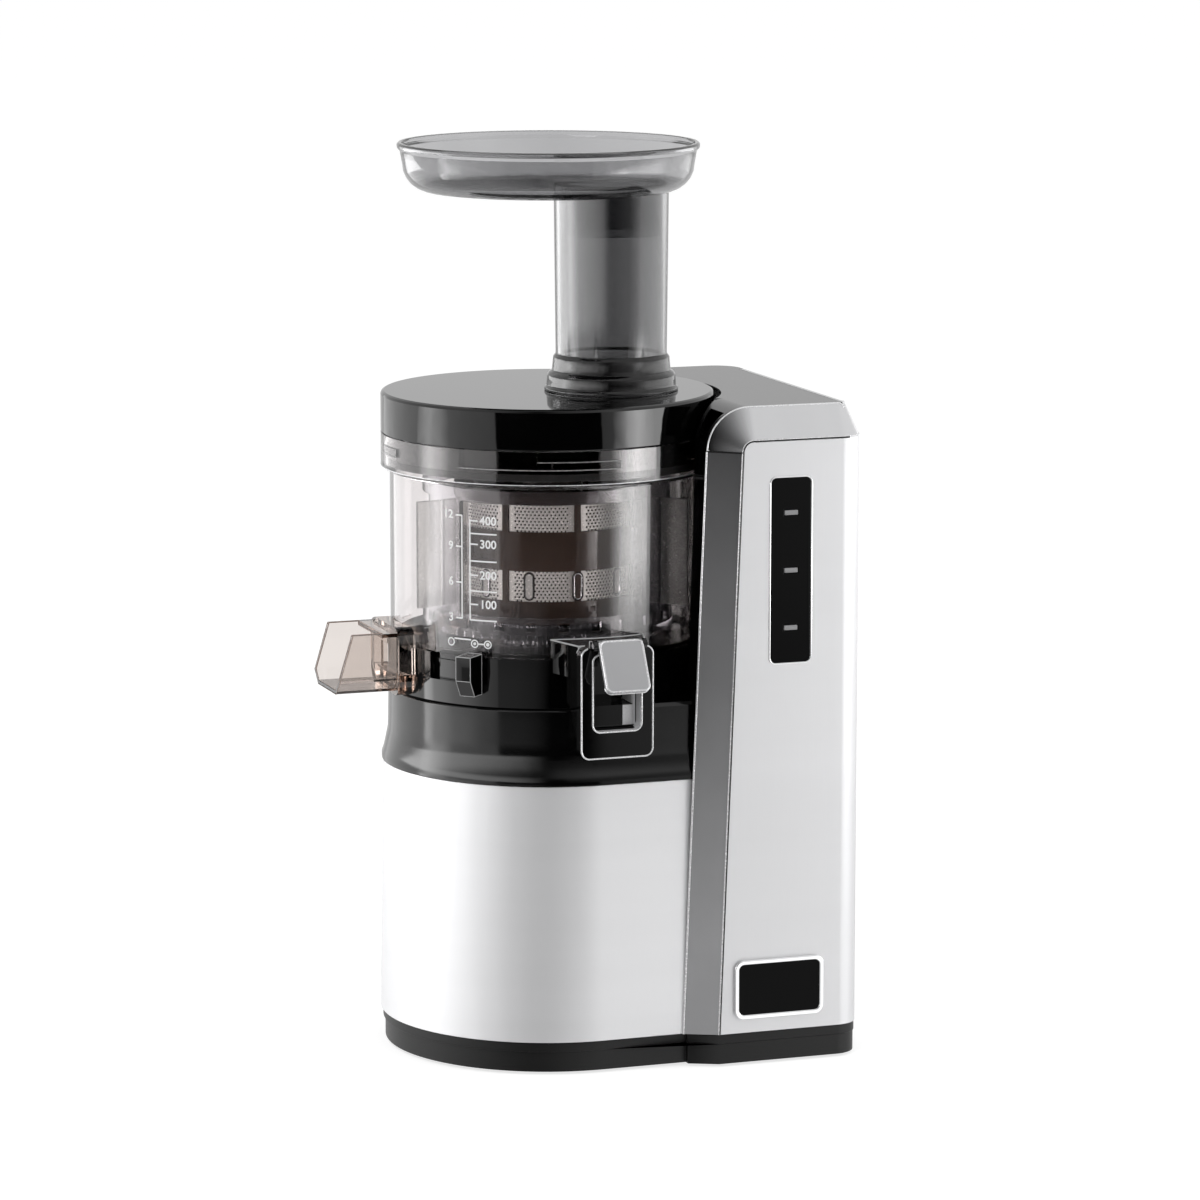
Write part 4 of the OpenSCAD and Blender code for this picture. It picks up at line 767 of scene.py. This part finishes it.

# light outlines: painted highlights along edges that catch the light, and on the plated trims their polished
# edges as well
outline("spout_plate_edge", "juice_spout",
        both(lambda x, y, z: near(y, PLATE_FRONT) and not (abs(x) < 14 and z > 160)), 0.42, "polished_and_painted_highlight_edge")
outline("spout_plate_back_edge", "juice_spout", both(lambda x, y, z: near(y, PLATE_BACK) and x < -10), 0.4,
        "painted_dim_highlight_edge")
outline("spout_window_edge", "juice_spout", WINDOW_RIM, 0.5, "polished_and_painted_highlight_edge")
# painted shade: a dark outline along the clear trough's outer edges
outline("pulp_spout_edge", "pulp_spout", both(lambda x, y, z: x < -82), 0.32, "painted_dark_edge")
outline("collar_edge", "drum", both(lambda x, y, z: 278 < z < 294.8 and math.hypot(x, y) > 77.5), 0.24,
        "polished_and_painted_highlight_edge")
window_lining("spout_window_lining")
mouth_lining("spout_mouth_lining")
outline("duct_edge", "juice_spout", both(lambda x, y, z: y > -93.6 and z > 204), 0.4, "painted_dim_highlight_edge")
outline("flap_edge", "juice_flap", both(lambda x, y, z: y < -104.9), 0.55, "polished_and_painted_highlight_edge", sink=0.6)
outline("lever_edge", "pulp_lever", both(lambda x, y, z: x < -51.5 and y < -52.4), 0.2, "painted_dim_highlight_edge")
outline("trim_side_edge", "tower_trim_side", lambda p, q: abs(p[2] - q[2]) > 5, 0.5, "polished_and_painted_highlight_edge")
outline("trim_top_edge", "tower_trim_top", lambda p, q: max(p[1], q[1]) < 50 and max(p[2], q[2]) > 293
        and not 3 < abs(p[1] - q[1]) < 12, 0.4, "polished_and_painted_highlight_edge")
# dark joints, which stand out of their edges a little, and the panel's bright rim
outline("trim_joint", "tower_trim_side", both(lambda x, y, z: z > 292), 0.35, "gloss_black", sink=-0.2)
outline("face_joint", "tower_front", both(lambda x, y, z: y < -88 and (x < 66 or z > 290)), 0.45, "gloss_black",
        sink=-0.1)
outline("panel_rim", "tower_front", both(lambda x, y, z: near(y, -88.6) and 79 < x < 101 and 191 < z < 281),
        0.5, "chrome", sink=0.2)


# ---------- floor, light ----------

TO_CAMERA = -Vector((math.sin(CAM_YAW), math.cos(CAM_YAW), 0))
TO_RIGHT = Vector((math.cos(CAM_YAW), -math.sin(CAM_YAW), 0))

# What a glossy face sees of the studio: angle from the camera to its right, then its glow far below the
# floor line, low down, at the lid's height, at the chute's height, and high up.
STUDIO = [
    (-150, 0.9, 1.3, 1.4, 2.0, 1.0), (-97, 0.9, 1.7, 1.6, 6.5, 1.0), (-95, 0.9, 6.0, 2.6, 7.5, 1.0),
    (-89, 0.9, 5.0, 4.2, 7.8, 1.0), (-86, 0.9, 3.4, 4.8, 7.2, 1.0), (-75, 0.9, 2.9, 3.2, 5.0, 1.0),
    (-68, 0.9, 2.2, 1.7, 4.0, 1.0), (-58, 0.85, 1.9, 1.3, 3.6, 0.9), (-46, 0.7, 1.1, 1.1, 3.1, 0.8),
    (-34, 0.5, 0.7, 0.95, 2.6, 0.6), (-33, 0.5, 0.4, 0.0, 2.6, 0.6), (-20, 0.25, 0.35, 0.0, 1.9, 0.3),
    (-9, 0.0, 0.25, 0.0, 0.8, 0.1), (-2, 0.2, 0.1, 0.0, 0.1, 0.1), (2, 0.3, 0.0, 0.0, 0.0, 0.2),
    (10, 0.9, 0.0, 0.0, 0.0, 0.4), (36, 1.2, 0.0, 0.0, 0.2, 0.8), (36.6, 1.2, 0.35, 0.6, 0.2, 0.8),
    (45, 1.3, 0.6, 0.75, 0.5, 0.9), (50, 1.3, 1.2, 2.6, 0.9, 1.0), (56, 1.3, 1.2, 6.0, 1.4, 1.0),
    (64, 1.3, 1.2, 8.0, 2.2, 1.0), (70, 1.2, 1.2, 6.0, 2.4, 1.0), (77, 1.1, 1.2, 4.5, 2.5, 1.0),
    (96, 1.0, 1.0, 3.8, 2.6, 1.0), (108, 0.9, 1.0, 2.0, 2.4, 1.0), (150, 0.9, 1.0, 1.3, 1.6, 1.0)]
STUDIO_R = 1.1
# heights in metres, each with the number of the glow that it has
LEVELS = [(-1.6, 0), (-0.17, 0), (-0.09, 1), (0.0, 1), (0.08, 2), (0.192, 2), (0.206, 3), (0.34, 3), (0.45, 4),
          (1.6, 4)]
FLOOR_GREY, FLOOR_GLOW = 0.42, 0.74     # the floor's own grey, and the share of the background it shows
MATT, MIRROR, INNER = 0.62, 0.82, 0.1   # the background's strengths, as background() says


def make_studio():
    """An upright wall of soft light round the object, which only mirrors and clear walls see."""
    bm = bmesh.new()
    glow = bm.verts.layers.float.new("glow")
    rows = []
    for deg, *levels in STUDIO:
        a = math.radians(deg)
        d = TO_CAMERA * math.cos(a) + TO_RIGHT * math.sin(a)
        row = []
        for z, k in LEVELS:
            v = bm.verts.new((AXIS.x + d.x * STUDIO_R, AXIS.y + d.y * STUDIO_R, z))
            v[glow] = levels[k]
            row.append(v)
        rows.append(row)
    for a, b in zip(rows, rows[1:]):
        for k in range(len(LEVELS) - 1):
            bm.faces.new((a[k], b[k], b[k + 1], a[k + 1]))
    obj = from_bmesh("studio", bm)
    material = bpy.data.materials.new("studio")
    nodes = Nodes(material, "ShaderNodeOutputMaterial")
    light = nodes.add("ShaderNodeEmission")
    level = nodes.add("ShaderNodeAttribute", attribute_name="glow")
    nodes.link(level.outputs["Fac"], light.inputs["Strength"])
    nodes.link(light.outputs["Emission"], nodes.out.inputs["Surface"])
    obj.data.materials.append(material)
    obj.visible_camera = False
    obj.visible_diffuse = False
    obj.visible_shadow = False


def background(nodes, plain, mirror):
    """Strength of the background for each kind of ray: 1 for the camera and straight through clear walls,
    plain for light on matt faces, mirror for reflections, INNER for rays off the inside of a clear wall."""
    path = nodes.add("ShaderNodeLightPath")

    def math_node(kind, one, two):
        node = nodes.add("ShaderNodeMath", operation=kind)
        for socket, value in zip(node.inputs, (one, two)):
            if isinstance(value, float):
                socket.default_value = value
            else:
                nodes.link(value, socket)
        return node.outputs["Value"]

    through = path.outputs["Is Transmission Ray"]
    bounced = math_node("MINIMUM", path.outputs["Glossy Depth"], 1.0)
    straight = math_node("SUBTRACT", 1.0, math_node("MULTIPLY", bounced, 1.0 - INNER))
    reflected = math_node("MULTIPLY", path.outputs["Is Glossy Ray"], math_node("SUBTRACT", 1.0, through))
    total = math_node("ADD", path.outputs["Is Camera Ray"], math_node("MULTIPLY", through, straight))
    total = math_node("ADD", total, math_node("MULTIPLY", reflected, mirror))
    return math_node("ADD", total, math_node("MULTIPLY", path.outputs["Is Diffuse Ray"], plain))


def make_floor():
    bm = bmesh.new()
    bmesh.ops.create_circle(bm, cap_ends=True, radius=30, segments=64)
    obj = from_bmesh("floor", bm)
    material = bpy.data.materials.new("floor")
    nodes = Nodes(material, "ShaderNodeOutputMaterial")
    matte = nodes.add("ShaderNodeBsdfDiffuse", {"Color": (FLOOR_GREY, FLOOR_GREY, FLOOR_GREY, 1)})
    glow = nodes.add("ShaderNodeEmission", {"Color": (1, 1, 1, 1)})
    level = nodes.add("ShaderNodeMath", operation="MULTIPLY", inputs={1: FLOOR_GLOW})
    nodes.link(background(nodes, 0.0, 0.0), level.inputs[0])
    nodes.link(level.outputs["Value"], glow.inputs["Strength"])
    add = nodes.add("ShaderNodeAddShader")
    nodes.link(matte.outputs["BSDF"], add.inputs[0])
    nodes.link(glow.outputs["Emission"], add.inputs[1])
    nodes.link(add.outputs["Shader"], nodes.out.inputs["Surface"])
    obj.data.materials.append(material)
    obj.visible_glossy = False


def make_world():
    world = bpy.data.worlds.new("world")
    bpy.context.scene.world = world
    nodes = Nodes(world, "ShaderNodeOutputWorld")
    back = nodes.add("ShaderNodeBackground", {"Color": (1, 1, 1, 1)})
    nodes.link(background(nodes, MATT, MIRROR), back.inputs["Strength"])
    nodes.link(back.outputs["Background"], nodes.out.inputs["Surface"])


def lamp(name, place, power):
    """A round soft lamp that looks at the object's middle, and that mirrors don't show."""
    data = bpy.data.lights.new(name, "AREA")
    data.shape = "DISK"
    data.size = 1.6
    data.energy = power
    obj = linked(name, data)
    aim(obj, place, Vector((0, 0, 0.2)) - Vector(place))
    obj.visible_glossy = False


make_camera()
make_floor()
make_world()
make_studio()
lamp("key", (-1.6, -1.2, 2.2), 26)
lamp("fill", (1.8, -1.4, 1.6), 16)

bpy.context.scene.view_settings.view_transform = "Standard"
